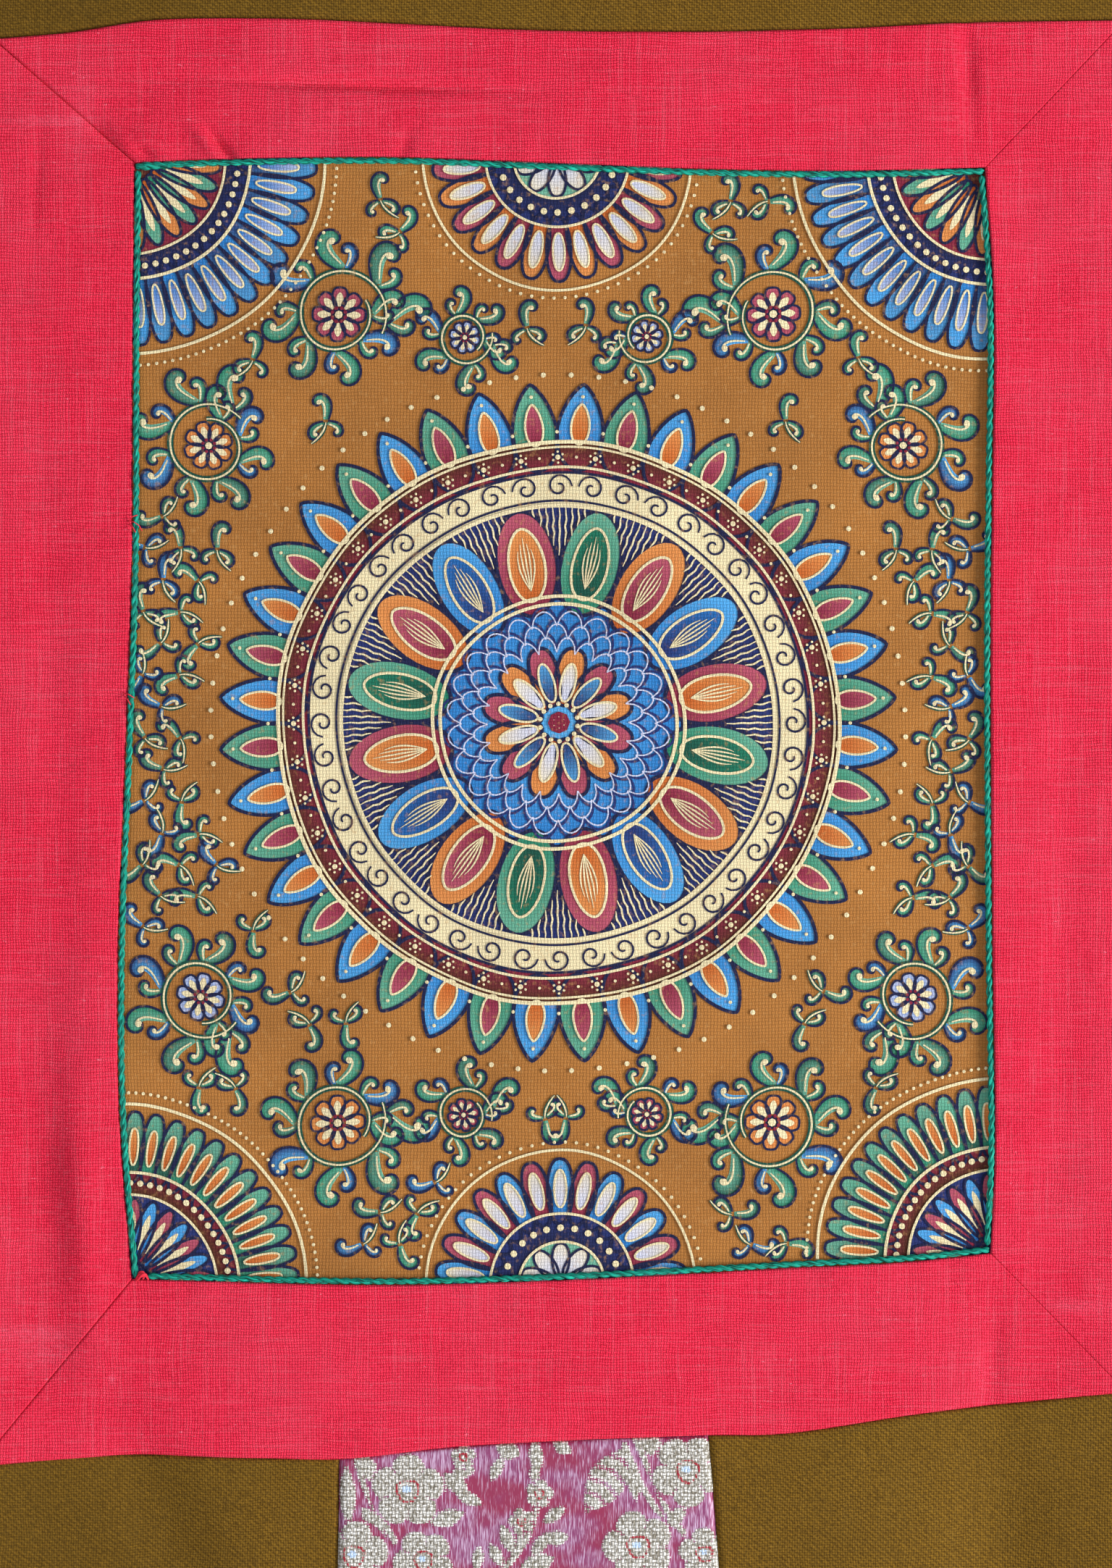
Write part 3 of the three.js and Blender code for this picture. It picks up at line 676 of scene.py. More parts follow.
SCROLLS = (  # on the right: middle, radius, bearing of the first leaf, way round, leaves, blossom's colours
    (50, 108, 11, 205, -1, 9, ("crimson", "rose")),
    (21, 103, 6.5, 170, 1, 7, ("blue", "lilac")),
    (80, 78, 10, 140, -1, 9, ("orange", "apricot")),
    (50, -78, 11, 155, 1, 9, ("orange", "apricot")),
    (21, -76, 6.5, 190, -1, 7, ("crimson", "rose")),
    (82, -49, 10, 215, 1, 9, ("blue", "lilac")),
)
SPRAY_PITCH = 8.4  # mm between the leaves that fill the ground
SPRAY_ROW = 0.866  # share of that pitch from one row up to the next, which is set off by half
SPRAY_SIZE = 7.2  # mm
SPRAY_ROOM = 2.6  # mm that a spray keeps from the round motifs
SPRAY_ROWS, SPRAY_COLUMNS = 34, 12
SPRAY_FIRST = (2.5, -106)  # mm, the lowest one beside the middle line
SPRAY_LAST = (95, 138)  # mm, as far as they go sideways and up
for hand in (1, -1):
    for x, z, radius, degrees, way, leaves, pair in SCROLLS:
        start = math.radians(degrees if hand > 0 else 180 - degrees)
        scroll(hand * x, z, radius, start, way * hand, leaves, [pair], GREENS)
        filled.append((hand * x, z, radius * 1.72))
    for row in range(SPRAY_ROWS):
        z = SPRAY_FIRST[1] + row * SPRAY_PITCH * SPRAY_ROW
        for column in range(SPRAY_COLUMNS):
            x = SPRAY_FIRST[0] + (column + row % 2 / 2) * SPRAY_PITCH
            room = min(math.hypot(hand * x - mx, z - mz) - reach for mx, mz, reach in filled)
            if room > SPRAY_ROOM and x < SPRAY_LAST[0] and z < SPRAY_LAST[1]:
                turn = math.atan2(z - WHEEL[1], x) + 1.2 * math.sin(x / 7.3 + z / 5.9)
                turn = turn if hand > 0 else HALF - turn
                roll = hand if (row + column) % 2 else -hand
                spray(hand * x, z, turn, SPRAY_SIZE, roll, GREENS[(row + 3 * column) % 4])

for name, store in coats.items():
    points = np.vstack(store["points"])
    paint = paint_on_cotton("mineral paint, " + name.replace("_", " "), "paint")
    coat = new_piece("paint_" + name, points, store["faces"], paint)
    colour = coat.data.attributes.new("paint", "FLOAT_COLOR", "POINT")
    colour.data.foreach_set("color", np.vstack(store["colours"]).ravel())
    lay_flat(coat, "OFBake", points[:, ::2] / (CANVAS_SPAN * MM) + CANVAS_CORNER)
    coat.data.shade_smooth()
    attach(coat, "root")


# Red border: four strips of plain-weave cotton, mitred and seamed at the corners, their inner edges
# folded under and lying on the canvas, their outer edges seamed to the mount. The dye has faded.
BORDER_TOP = (
    (-129.6, 171.4), (-112, 173), (-92, 175.9), (-60, 176), (5, 173.2), (60, 173.7), (98, 175.4), (131, 175.8)
)
BORDER_BOTTOM = (
    (-133, -156.9), (-113, -155.4), (-97, -154.6), (-68, -155.2), (-50, -155.4), (-23, -152.6), (7, -150.9),
    (35.2, -149.9), (52, -149.6), (82, -145.2), (112, -141.9), (131.2, -139.8),
)
BORDER_LEFT = ((-129.6, 171.4), (-130.6, 60), (-132.4, -60), (-133, -156.9))
BORDER_RIGHT = ((131, 175.8), (131.8, 70), (131.4, -60), (131.2, -139.8))
BORDER_FRONT = 0.5  # mm in front of the mount's face
BORDER_THICKNESS = 0.8  # mm
BORDER_PITCH = 0.9  # mm between points, close enough for the creases
BORDER_WEAVE = 0.64  # mm between threads as drawn
SEAM_ROLL = 1.0  # mm, radius with which cloth turns into a seam
FOLD_ROLL = 0.7  # mm, radius of the folded inner edge
CREASES = (  # narrow creases and puckers in the border, in the form of the folds
    (-53, 161, 88, 2.8, 40, -0.5),
    (-45, 160.8, 88, 1.1, 26, -1.4),
    (95, 163, 3, 2.0, 13, -1.1),
    (100.5, -134, -2, 2.6, 11, -0.8),
    (-77, 146.6, 42, 1.1, 4.5, -1.7),
    (-119.5, 140, -3, 1.6, 14, -0.4),
    (-100, 146.5, 40, 2.2, 6, 0.7),
    (-35, 146.5, -20, 1.6, 5, -0.6),
    (-80.5, 147.5, 40, 1.6, 5, 1.0),
    (-120, -92, 0, 6, 40, 0.5),
    (-109.5, -96, 4, 5, 28, 1.5),
    (-102.5, 148, 49, 1.8, 7, -1.5),
    (-93.5, 147.6, 70, 2.2, 7, 1.0),
    (-94.8, 145.2, 60, 1.1, 2.6, -0.8),
    (-116, 30, 3, 5, 60, -0.5),
    (117, -40, -2, 6, 80, -0.6),
    (30, -133, 85, 5, 60, -0.5),
    (40, 160, 86, 5, 50, 0.5),
)
FADES = (  # faded streaks and patches, in the same form, with the share of fading as their rise
    (-110, 151, 0, 3.5, 13, 0.14),
    (-118, 152.5, 90, 1.2, 11, 0.28),
    (-120, -126, 90, 1.5, 10, 0.24),
    (-118, -131, 90, 4, 10, 0.18),
    (121, -120, 90, 1.2, 9, 0.22),
    (-102, -137, 0, 0.7, 1.1, 0.5),
)
BORDER_STRIPS = {  # the four lines that each strip is cut to, and the strip's inner side
    "top": (
        BORDER_TOP, WINDOW_TOP, (BORDER_TOP[0], WINDOW_TOP[0]), (BORDER_TOP[-1], WINDOW_TOP[-1]), "bottom"
    ),
    "bottom": (
        WINDOW_BOTTOM, BORDER_BOTTOM, (WINDOW_BOTTOM[0], BORDER_BOTTOM[0]),
        (WINDOW_BOTTOM[-1], BORDER_BOTTOM[-1]), "top",
    ),
    "left": (
        (BORDER_TOP[0], WINDOW_TOP[0]), (BORDER_BOTTOM[0], WINDOW_BOTTOM[0]), BORDER_LEFT, WINDOW_LEFT,
        "right",
    ),
    "right": (
        (WINDOW_TOP[-1], BORDER_TOP[-1]), (WINDOW_BOTTOM[-1], BORDER_BOTTOM[-1]), WINDOW_RIGHT, BORDER_RIGHT,
        "left",
    ),
}
BORDER_FLATS = {  # m, length and width of each strip as cut, and m2, its area with the mitres off
    "top": ((0.261, 0.034), 0.0073),
    "bottom": ((0.265, 0.049), 0.0091),
    "left": ((0.328, 0.036), 0.0096),
    "right": ((0.316, 0.033), 0.0089),
}
MITRE_ROLLS = {  # mm, radius with which each strip turns into its two mitres, some drawn tighter than others
    "top": dict(left=1.2, right=0.3), "bottom": dict(left=0.6, right=0.3),
    "left": dict(top=0.5, bottom=0.6), "right": dict(top=0.3, bottom=0.3),
}


def slack(x, z):
    """The uneven lie of hand-stretched cloth, in mm: slow waves that never quite repeat."""
    return (
        0.20 * np.sin(x / 11.3 + 0.7 * np.sin(z / 23.0))
        + 0.16 * np.sin(z / 9.7 + 0.9 * np.sin(x / 19.0) + 1.7)
        + 0.10 * np.sin((x + z) / 6.1 + 2.1)
        + 0.08 * np.sin((x - 1.3 * z) / 4.7)
    )


def puckers(plan, side):
    """Small gathers that a hand-sewn edge draws into the cloth, in mm."""
    away = np.linalg.norm(plan - edge_of(plan, side), axis=2)
    along = plan[..., 0] if side in ("top", "bottom") else plan[..., 1]
    return 0.16 * np.sin(along / 1.9 + 1.5 * np.sin(along / 13.0)) * np.exp(-away / 5.0)


def woven_cloth(name, spacing, relief, colours, slub, cloud, slant=0.0, ridge_pitch=1.0):
    """Plain-weave cloth: painted highlight on the tops of its threads and painted shade in the hollows
    between them, with thick and thin threads running both ways and patches where the dye has changed. colours
    are those of the lit thread tops, the painted shade in the hollows, the patches and the thick threads, and
    slant is the share of fine slanting ridges in the weave. The fade_and_shade attribute is faded dye on the
    border and painted shade on the mount, both mixed towards the patch colour. The real threads, about 0.5 mm
    apart or closer, are drawn wider so that they show."""
    material, tree, shader = new_material(name)
    thread, hollow_shade, patch_and_shade, thick_thread = (linear(colour) for colour in colours)
    weave, place = plain_weave(tree, spacing, 1.6)
    if slant:
        lain = add(tree, "Mapping", {"Vector": place, "Rotation": (0, math.radians(52), 0)})
        waves = {"Vector": lain, "Scale": 0.1 * math.pi / (ridge_pitch * MM), "Distortion": 0.6}
        ridge = add(tree, "TexWave", waves, "Fac")
        weave = add(tree, "Mix", {2: weave, 3: ridge, "Factor": slant}, data_type="FLOAT")
    grain = add(tree, "TexNoise", {"Vector": place, "Scale": 1 / (0.55 * MM), "Detail": 1.0})
    uneven = add(
        tree, "MapRange", {"Value": grain, "From Min": 0.3, "From Max": 0.7, "To Min": 0.5, "To Max": 1.3}
    )
    lit = add(tree, "Math", {0: weave, 1: uneven}, operation="MULTIPLY", use_clamp=True)
    # painted shade in the hollows between the threads, painted highlight on their tops
    body = add(tree, "Mix", {6: hollow_shade, 7: thread, "Factor": lit}, 2, data_type="RGBA")
    slubs = (14, 0.5, 0.5, slub), (0.5, 18, 0.5, slub), (1.4, 0.6, 0.7, 4 * slub)
    for width, length, least, share in slubs:
        lain = add(tree, "Mapping", {"Vector": place, "Scale": (1 / (width * MM), 1 / MM, 1 / (length * MM))})
        thick = add(tree, "TexNoise", {"Vector": lain, "Scale": 1.0, "Detail": 2.0})
        showing = add(tree, "MapRange", {"Value": thick, "From Min": least, "From Max": 0.8, "To Max": share})
        body = add(tree, "Mix", {6: body, 7: thick_thread, "Factor": showing}, 2, data_type="RGBA")
    thready = add(
        tree, "MapRange", {"Value": thick, "From Min": 0.35, "From Max": 0.65, "To Min": 0.4, "To Max": 1.2}
    )
    cloudy = add(tree, "TexNoise", {"Vector": place, "Scale": 1 / (38 * MM), "Detail": 4.0})
    changed = add(tree, "MapRange", {"Value": cloudy, "From Min": 0.45, "From Max": 0.75, "To Max": cloud})
    # faded dye on the border, painted shade on the mount
    streak = add(tree, "Attribute", {}, "Fac", attribute_name="fade_and_shade")
    fade_and_shade = add(tree, "Math", {0: streak, 1: thready, 2: changed}, operation="MULTIPLY_ADD", use_clamp=True)
    body = add(tree, "Mix", {6: body, 7: patch_and_shade, "Factor": fade_and_shade}, 2, data_type="RGBA")
    finish_surface(tree, shader, body, 0.9, 0.15, weave, relief, 0.8)
    return material


red_cotton = woven_cloth(
    "crimson plain-weave cotton", BORDER_WEAVE, 0.2, ("#f4304e", "#b00e28", "#ec7088", "#f8a0b2"),
    slub=0.09, cloud=0.1,
)
for side, (top, bottom, left, right, inner) in BORDER_STRIPS.items():
    plan = cut(top, bottom, left, right, pitch=BORDER_PITCH)
    x, z = plan[..., 0], plan[..., 1]
    rolls = {side: SEAM_ROLL, inner: FOLD_ROLL, **MITRE_ROLLS[side]}
    relief = slack(x, z) + rises(CREASES, x, z) + puckers(plan, inner)
    fade_and_shade = {"fade_and_shade": rises(FADES, x, z)}
    name = "border_" + side
    strip = cloth_sheet(
        name + "_cloth", plan, BORDER_FRONT, rolls, BORDER_THICKNESS, red_cotton, relief, fade_and_shade
    )
    flat, area = BORDER_FLATS[side]
    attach(strip, "root")
    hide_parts(name)


# Green cord: four lengths of two-strand twisted silk cord, couched in the corner between the
# border's folded edge and the canvas, and cut off where they meet at the mitres.
CORD_INSET = 0.85  # mm from the folded edge to the cord's middle
CORD_LIFT = 1.25  # mm from the canvas to the cord's middle
CORD_LAY = 5.2  # mm for a full turn of the strands
STRANDS = 2
STRAND_OFFSET = 0.29  # mm from the cord's middle to a strand's
STRAND_RADIUS = 0.5  # mm
STRAND_SIDES = 10
STRAND_STEP = 0.5  # mm
KNOT_SWELL, KNOT_PLACE, KNOT_LENGTH = 0.5, 3.2, 2.6  # share, and mm along the top cord, of its knotted end
CORDS = {  # window edge, the way in from it, and mm by which its first and last ends stop short
    "top": (WINDOW_TOP, (0, -1), (0.3, 0.3)),
    "bottom": (WINDOW_BOTTOM, (0, 1), (3.6, 0.3)),
    "left": (WINDOW_LEFT, (1, 0), (1.8, 0.4)),
    "right": (WINDOW_RIGHT, (-1, 0), (1.8, 1.8)),
}


def silk_yarn():
    """Dyed silk yarn: a soft shine along the strands, with fine fibres drawn in painted highlight and painted
    shade.
    """
    material, tree, shader = new_material("green silk yarn")
    along = add(tree, "UVMap", {}, uv_map="yarn")
    lain = add(tree, "Mapping", {"Vector": along, "Scale": (0.35, 9, 1)})
    fibre = add(tree, "TexNoise", {"Vector": lain, "Scale": 1.0, "Detail": 3.0})
    # painted highlight and painted shade along the fibres
    light = add(tree, "MapRange", {"Value": fibre, "From Min": 0.35, "From Max": 0.68})
    colour = add(
        tree, "Mix", {6: linear("#01352c"), 7: linear("#12b499"), "Factor": light}, 2, data_type="RGBA"
    )
    finish_surface(tree, shader, colour, 0.55, 0.2, fibre, 0.15, 0.8)
    return material


def cross_axes(line, toward):
    """Two directions square to a line at each of its points, the first of them square to toward as well."""
    along = np.gradient(line, axis=0)
    along /= np.linalg.norm(along, axis=1)[:, None]
    side = np.cross(toward, along)
    side /= np.linalg.norm(side, axis=1)[:, None]
    return side, np.cross(along, side)


def tube(middle, radius, side, front, sides, start):
    """Points and faces of a closed tube round its middle line, its points numbered from start."""
    turns = (np.arange(sides) * FULL / sides)[None, :, None]
    ring = side[:, None] * np.cos(turns) + front[:, None] * np.sin(turns)
    points = middle[:, None] + np.broadcast_to(radius, len(middle))[:, None, None] * ring
    last = (len(middle) - 1) * sides
    a, n = start + np.arange(0, last, sides)[:, None], np.arange(sides)[None, :]
    m = (n + 1) % sides
    wall = np.stack([a + n, a + m, a + sides + m, a + sides + n], axis=-1).reshape(-1, 4)
    caps = [list(range(start + sides - 1, start - 1, -1)), list(range(start + last, start + last + sides))]
    return points.reshape(-1, 3), wall.tolist() + caps


yarn = silk_yarn()
for side, (knots, inward, trim) in CORDS.items():
    route = [(x + inward[0] * CORD_INSET, z + inward[1] * CORD_INSET) for x, z in knots]
    length = length_of(route)
    first, last = trim[0], length - trim[1]
    run = np.linspace(first, last, round((last - first) / STRAND_STEP) + 1)
    flat = sewn_line(route, run / length)
    middle = hung(flat[:, 0], flat[:, 1], CANVAS_FRONT + CORD_LIFT) / MM
    sideways, ahead = cross_axes(middle, (0, -1, 0))
    ends = np.clip(np.minimum(run - first, last - run), 0, 1)
    radius = STRAND_RADIUS * (0.35 + 0.65 * np.sqrt(1 - (1 - ends) ** 2))
    if side == "top":
        radius *= 1 + KNOT_SWELL * np.exp(-(((run - KNOT_PLACE) / KNOT_LENGTH) ** 2))
    points, faces, spots = [], [], []
    for strand in range(STRANDS):
        turn = (FULL * (run / CORD_LAY + strand / STRANDS) + 0.35 * np.sin(run / 7.3))[:, None]
        centre = middle + STRAND_OFFSET * (sideways * np.cos(turn) + ahead * np.sin(turn))
        more, walls = tube(centre, radius, sideways, ahead, STRAND_SIDES, strand * len(run) * STRAND_SIDES)
        points.append(more)
        faces += walls
        around = strand + np.arange(STRAND_SIDES) / STRAND_SIDES
        spots.append(np.stack(np.broadcast_arrays(run[:, None], around[None, :]), axis=-1).reshape(-1, 2))
    cord = new_piece("cord_" + side + "_strands", np.vstack(points) * MM, faces, yarn)
    lay_flat(cord, "yarn", np.vstack(spots))
    cord.data.shade_smooth()
    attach(cord, "root")
    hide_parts("cord_" + side)


# Olive mount: a top panel, two side strips and two lower panels of fine closely woven cloth, seamed
# to each other and to the border. Its outer edges are turned back in a narrow hem.
HEM_TOP = ((-192, 270), (193, 270))
HEM_LEFT = ((-192, 270), (-193.77, 171.4), (-195, 120), (-199.5, -120), (-199.66, -156.9), (-203, -343))
HEM_RIGHT = ((193, 270), (194.7, 175.8), (196.5, 120), (199.8, -120), (200.4, -139.8), (204, -341))
HEM_ROLL = 0.6  # mm, radius of the turned hem
SEAM_TUCK = 0.3  # mm that a side of a panel runs on under its neighbour
MOUNT_THICKNESS = 0.9  # mm
MOUNT_PITCH = 3.0  # mm between points
MOUNT_WEAVE = 0.58  # mm between threads as drawn
DOOR_TOP = BORDER_BOTTOM[4:8]
DOOR_LEFT = ((-50, -155.4), (-52, -344.5))
DOOR_RIGHT = ((35.2, -149.9), (37.6, -180), (44, -343.5))
DOOR_BOTTOM = ((-52, -344.5), (-4, -345.6), (44, -343.5))
LOWER_LEFT_SEAM = (HEM_LEFT[4], (-170, -156.9), (-145, -156.9), BORDER_BOTTOM[0])  # below the left strip


def tucked(line, dx):
    """An upright seam line moved a little way under the neighbouring cloth, in mm."""
    return tuple((x + dx, z) for x, z in line)


MOUNT_PANELS = {  # the four lines of each panel, which of its sides are seams, and which have an allowance
    "top": (
        HEM_TOP, (HEM_LEFT[1], *BORDER_TOP, HEM_RIGHT[1]), HEM_LEFT[:2], HEM_RIGHT[:2],
        ("bottom",), ("bottom",),
    ),
    "left": (
        (HEM_LEFT[1], BORDER_TOP[0]), LOWER_LEFT_SEAM, HEM_LEFT[1:5], tucked(BORDER_LEFT, SEAM_TUCK),
        ("top", "bottom", "right"), ("right",),
    ),
    "right": (
        (BORDER_TOP[-1], HEM_RIGHT[1]), (BORDER_BOTTOM[-1], HEM_RIGHT[4]), tucked(BORDER_RIGHT, -SEAM_TUCK),
        HEM_RIGHT[1:5], ("top", "bottom", "left"), ("left",),
    ),
    "lower_left": (
        (*LOWER_LEFT_SEAM, (-122, -155.5), (-113, -154.8), *BORDER_BOTTOM[2:5]),
        (HEM_LEFT[5], (-150, -345.2), (-100, -343.6), DOOR_LEFT[-1]),
        HEM_LEFT[4:], tucked(DOOR_LEFT, SEAM_TUCK), ("top", "right"), ("top", "right"),
    ),
    "lower_right": (
        (*BORDER_BOTTOM[7:], HEM_RIGHT[4]), (DOOR_RIGHT[-1], (95, -344.8), (150, -342.4), HEM_RIGHT[5]),
        tucked(DOOR_RIGHT, -SEAM_TUCK), HEM_RIGHT[4:], ("top", "left"), ("top", "left"),
    ),
}
DEEP_SEAMS = {  # mm, radius of the seams that are drawn in more than the rest
    ("top", "bottom"): 1.6, ("lower_left", "right"): 1.7, ("lower_right", "left"): 1.7
}
PAINTED_MOUNT_SHADE = (  # patches of painted shade on the mount, deepest on the left, in the form of the folds, with their share as the rise
    (-140, 190, 0, 75, 60, 0.5),
    (140, 195, 0, 60, 40, 0.15),
    (-135, -215, 0, 60, 90, 0.45),
)
# The third colour is the dark of the cloudy dye patches and of the painted shade patches.
olive_cloth = woven_cloth(
    "olive worsted cloth", MOUNT_WEAVE, 0.14, ("#84611a", "#3a2605", "#4a3609", "#a48440"),
    slub=0.06, cloud=0.1, slant=0.35,
)
for place, (top, bottom, left, right, seams, allowances) in MOUNT_PANELS.items():
    plan = cut(top, bottom, left, right, pitch=MOUNT_PITCH)
    x, z = plan[..., 0], plan[..., 1]
    rolls = dict.fromkeys(OUTWARD, HEM_ROLL)
    relief = 0.8 * slack(x * 0.8, z * 0.8)
    for edge in seams:
        rolls[edge] = DEEP_SEAMS.get((place, edge), SEAM_ROLL)
        relief = relief + puckers(plan, edge)
    # painted shade, darkest on the left of the mount
    mount_shade = {"fade_and_shade": rises(PAINTED_MOUNT_SHADE, x, z)}
    name = "mount_" + place
    panel = cloth_sheet(
        name + "_cloth", plan, 0, rolls, MOUNT_THICKNESS, olive_cloth, relief, mount_shade, allowances=allowances
    )
    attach(panel, "root")
    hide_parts(name)


# Brocade door: one panel of floral silk brocade let into the lower mount, its sides rolled into their
# seams. Silver-gilt weft floats make the flowers, and a pink satin ground shows between them.
DOOR_PITCH = 0.74  # mm between points, close enough for the edges of the figure
DOOR_FRONT = 0.15  # mm in front of the mount's face
DOOR_THICKNESS = 0.7  # mm
DOOR_ROLL = 1.7  # mm, radius with which the sides turn into their seams
FLOAT_SPACING = 0.8  # mm between floats as drawn
FIGURE_RISE = 0.3  # mm that the floats stand up
PATTERN_REPEAT = 34  # mm down to the next row, which is turned over left to right
PATTERN_ROWS = 6
PATTERN_MIDDLE = -7.4  # mm, line about which the rows turn over
STEM_WIDTH = 1.3  # mm
BIG_FLOWERS = (  # with an eye of glints: middle and radius in mm, turn in radians
    (-34.1, -162.5, 8.4, 0.3),
    (30.3, -158, 8.3, 1.0),
    (18.9, -175.3, 8.2, 0.6),
    (-46.5, -177.5, 8, 0.2),
    (-30.5, -178.5, 7, 0.8),
    (34.2, -177, 6, 0.4),
)
SMALL_FLOWERS = ((-3.8, -163.2, 3.2, 0.1), (-7.9, -169.5, 3, 0.6), (-21.3, -154.8, 2.9, 0.3))
RIBBED_LEAF = (11.8, -160, 9, 4.3, -33)  # middle, half length and half width in mm, lean in degrees
LEAVES = (  # in the same form
    (17.9, -159.8, 5.2, 1.5, 6),
    (21.8, -151.8, 4, 2.2, 40),
    (-48, -163.5, 7, 1.9, 2),
    (-43, -157.5, 4.2, 1.9, 30),
    (-42, -170, 4.5, 1.9, 35),
    (-23, -160.8, 3.6, 1.9, 50),
    (-20, -164.3, 3.4, 1.4, 68),
    (-25, -168.8, 4.2, 1.9, -72),
    (-21.2, -157.9, 2.6, 1.6, 90),
    (-11, -153.2, 3, 2.1, 70),
    (-13.6, -157.4, 3.2, 1.3, -25),
    (-4.6, -154.4, 4.2, 1.5, 8),
    (-5, -158.6, 2.2, 1.1, 0),
    (1.5, -152.6, 2.4, 1.5, 60),
    (-11.2, -173.6, 3.6, 1.5, 22),
    (-0.4, -168, 3.2, 1.4, -55),
    (0.2, -173.4, 2.8, 1.7, -80),
    (-3.4, -174.6, 3.6, 1.4, -40),
    (-13.8, -177.2, 3, 1.4, 30),
    (-18, -178, 3, 1.3, -8),
    (-4.6, -179.6, 4.6, 2.4, -66),
    (27.8, -168.4, 3.4, 1.5, -40),
)
STEMS = (  # knots in mm
    ((-46.5, -153), (-43.5, -163), (-38, -172.5), (-35, -178)),
    ((18, -150), (22, -159), (26.5, -168.6), (31, -174)),
    ((15.8, -152), (19.6, -161), (24.4, -169)),
    ((-4, -165), (-6.5, -173), (-12, -180.5), (-19, -186)),
    ((-7.8, -171), (-8.6, -175.5), (-10.5, -179)),
    ((-22, -154), (-23.5, -160), (-27, -163)),
)


def brocade_marks(x, z):
    """How far inside the figure, its red outlines and its glints each point lies, in mm."""
    figure, outline, glint = (np.full(x.shape, -9.0) for _ in range(3))
    for row in range(PATTERN_ROWS):
        px, pz = (2 * PATTERN_MIDDLE - x if row % 2 else x), z + row * PATTERN_REPEAT
        for stem in STEMS:
            for sx, sz in sewn_line(stem, np.linspace(0, 1, 40)):
                figure = np.maximum(figure, STEM_WIDTH / 2 - np.hypot(px - sx, pz - sz))
        for leaf in (RIBBED_LEAF, *LEAVES):
            leaf_x, leaf_z, length, width, lean = leaf
            off, along = leaned(px - leaf_x, pz - leaf_z, lean)
            off, along = np.abs(off) / width, along / length
            inside = (1 - np.abs(along) ** 1.8 - off) * width * 0.8
            if leaf is RIBBED_LEAF:
                inside = np.minimum(inside, 0.45 * np.sin(along * 17 + off * 2.4) + 0.25)
            figure = np.maximum(figure, inside)
        for flower in BIG_FLOWERS + SMALL_FLOWERS:
            flower_x, flower_z, radius, first = flower
            dx, dz = px - flower_x, pz - flower_z
            reach, turn = np.hypot(dx, dz), np.arctan2(dz, dx)
            lobe = np.abs(np.cos(2.5 * (turn - first)))
            inside = np.minimum((0.72 + 0.28 * lobe**0.6) * radius - reach, lobe * 0.4 * reach - 0.22)
            inside = np.maximum(inside, 0.52 * radius - reach)
            figure = np.maximum(np.minimum(figure, reach - 1.06 * radius), inside)
            ring = 0.26 - np.abs(reach - 0.3 * radius * (1 + 0.08 * np.sin(3 * turn)))
            outline = np.maximum(np.minimum(outline, reach - radius), ring)
            if flower in BIG_FLOWERS:
                spot = 0.13 * radius - np.hypot(dx + 0.3, 1.4 * (dz - 0.4))
                glint = np.maximum(np.minimum(glint, reach - radius), spot)
    return dict(figure=figure, outline=outline, glint=glint)


def silver_brocade():
    """Silver-gilt and silk brocade: metal floats with a painted sparkle grain by grain, on a satin ground
    with streaks of painted sheen.
    The real floats are about 0.35 mm apart and are drawn wider so that they show."""
    material, tree, shader = new_material("silver-gilt silk brocade")
    weave, place = plain_weave(tree, FLOAT_SPACING, 0.5)
    ragged = add(tree, "Math", {0: weave, 1: -0.5}, operation="ADD")
    masks = {}
    for mark, edge in (("figure", 0.5), ("outline", 0.25), ("glint", 0.5)):
        inside = add(tree, "Attribute", {}, "Fac", attribute_name=mark)
        torn = add(tree, "Math", {0: ragged, 1: edge, 2: inside}, operation="MULTIPLY_ADD")
        masks[mark] = add(tree, "MapRange", {"Value": torn, "From Min": -0.08, "From Max": 0.08})
    grains = add(tree, "TexNoise", {"Vector": place, "Scale": 1 / (0.7 * MM), "Detail": 1.0})
    sparkle = add(tree, "MapRange", {"Value": grains, "From Min": 0.36, "From Max": 0.64})
    # painted highlight on the float tops and grains, painted shade between the floats
    float_highlight = add(tree, "Math", {0: weave, 1: sparkle}, operation="MULTIPLY")
    silver = add(
        tree, "Mix", {6: linear("#7c7464"), 7: linear("#fffdf6"), "Factor": float_highlight}, 2, data_type="RGBA"
    )
    banks = add(tree, "Mapping", {"Vector": place, "Scale": (1 / (14 * MM), 1 / MM, 1 / (8 * MM))})
    cloud = add(tree, "TexNoise", {"Vector": banks, "Scale": 1.0, "Detail": 3.0})
    violet = add(tree, "MapRange", {"Value": cloud, "From Min": 0.38, "From Max": 0.62})
    drawn = add(tree, "Mapping", {"Vector": place, "Scale": (1 / (0.2 * MM), 1 / MM, 1 / (2.6 * MM))})
    fibre = add(tree, "TexNoise", {"Vector": drawn, "Scale": 1.0, "Detail": 2.0})
    # pale lilac streaks of painted sheen on the satin
    shine = add(tree, "Math", {0: violet, 1: 0.12, 2: fibre}, operation="MULTIPLY_ADD")
    streak = add(tree, "MapRange", {"Value": shine, "From Min": 0.56, "From Max": 0.78, "To Max": 0.75})
    cloth = linear("#8c1d46")
    for colour, showing in (
        (linear("#843363"), violet),
        (linear("#e0c6e0"), streak),
        (silver, masks["figure"]),
        (linear("#a01a2c"), masks["outline"]),
        (linear("#bcd3ee"), masks["glint"]),
    ):
        cloth = add(tree, "Mix", {6: cloth, 7: colour, "Factor": showing}, 2, data_type="RGBA")
    floats = add(tree, "Math", {0: weave, 1: masks["figure"]}, operation="MULTIPLY")
    relief = add(tree, "Math", {0: fibre, 1: 0.3, 2: floats}, operation="MULTIPLY_ADD")
    shader.inputs["Metallic"].default_value = 0.1
    finish_surface(tree, shader, cloth, 0.5, 0.5, relief, 0.22, 0.8)
    return material


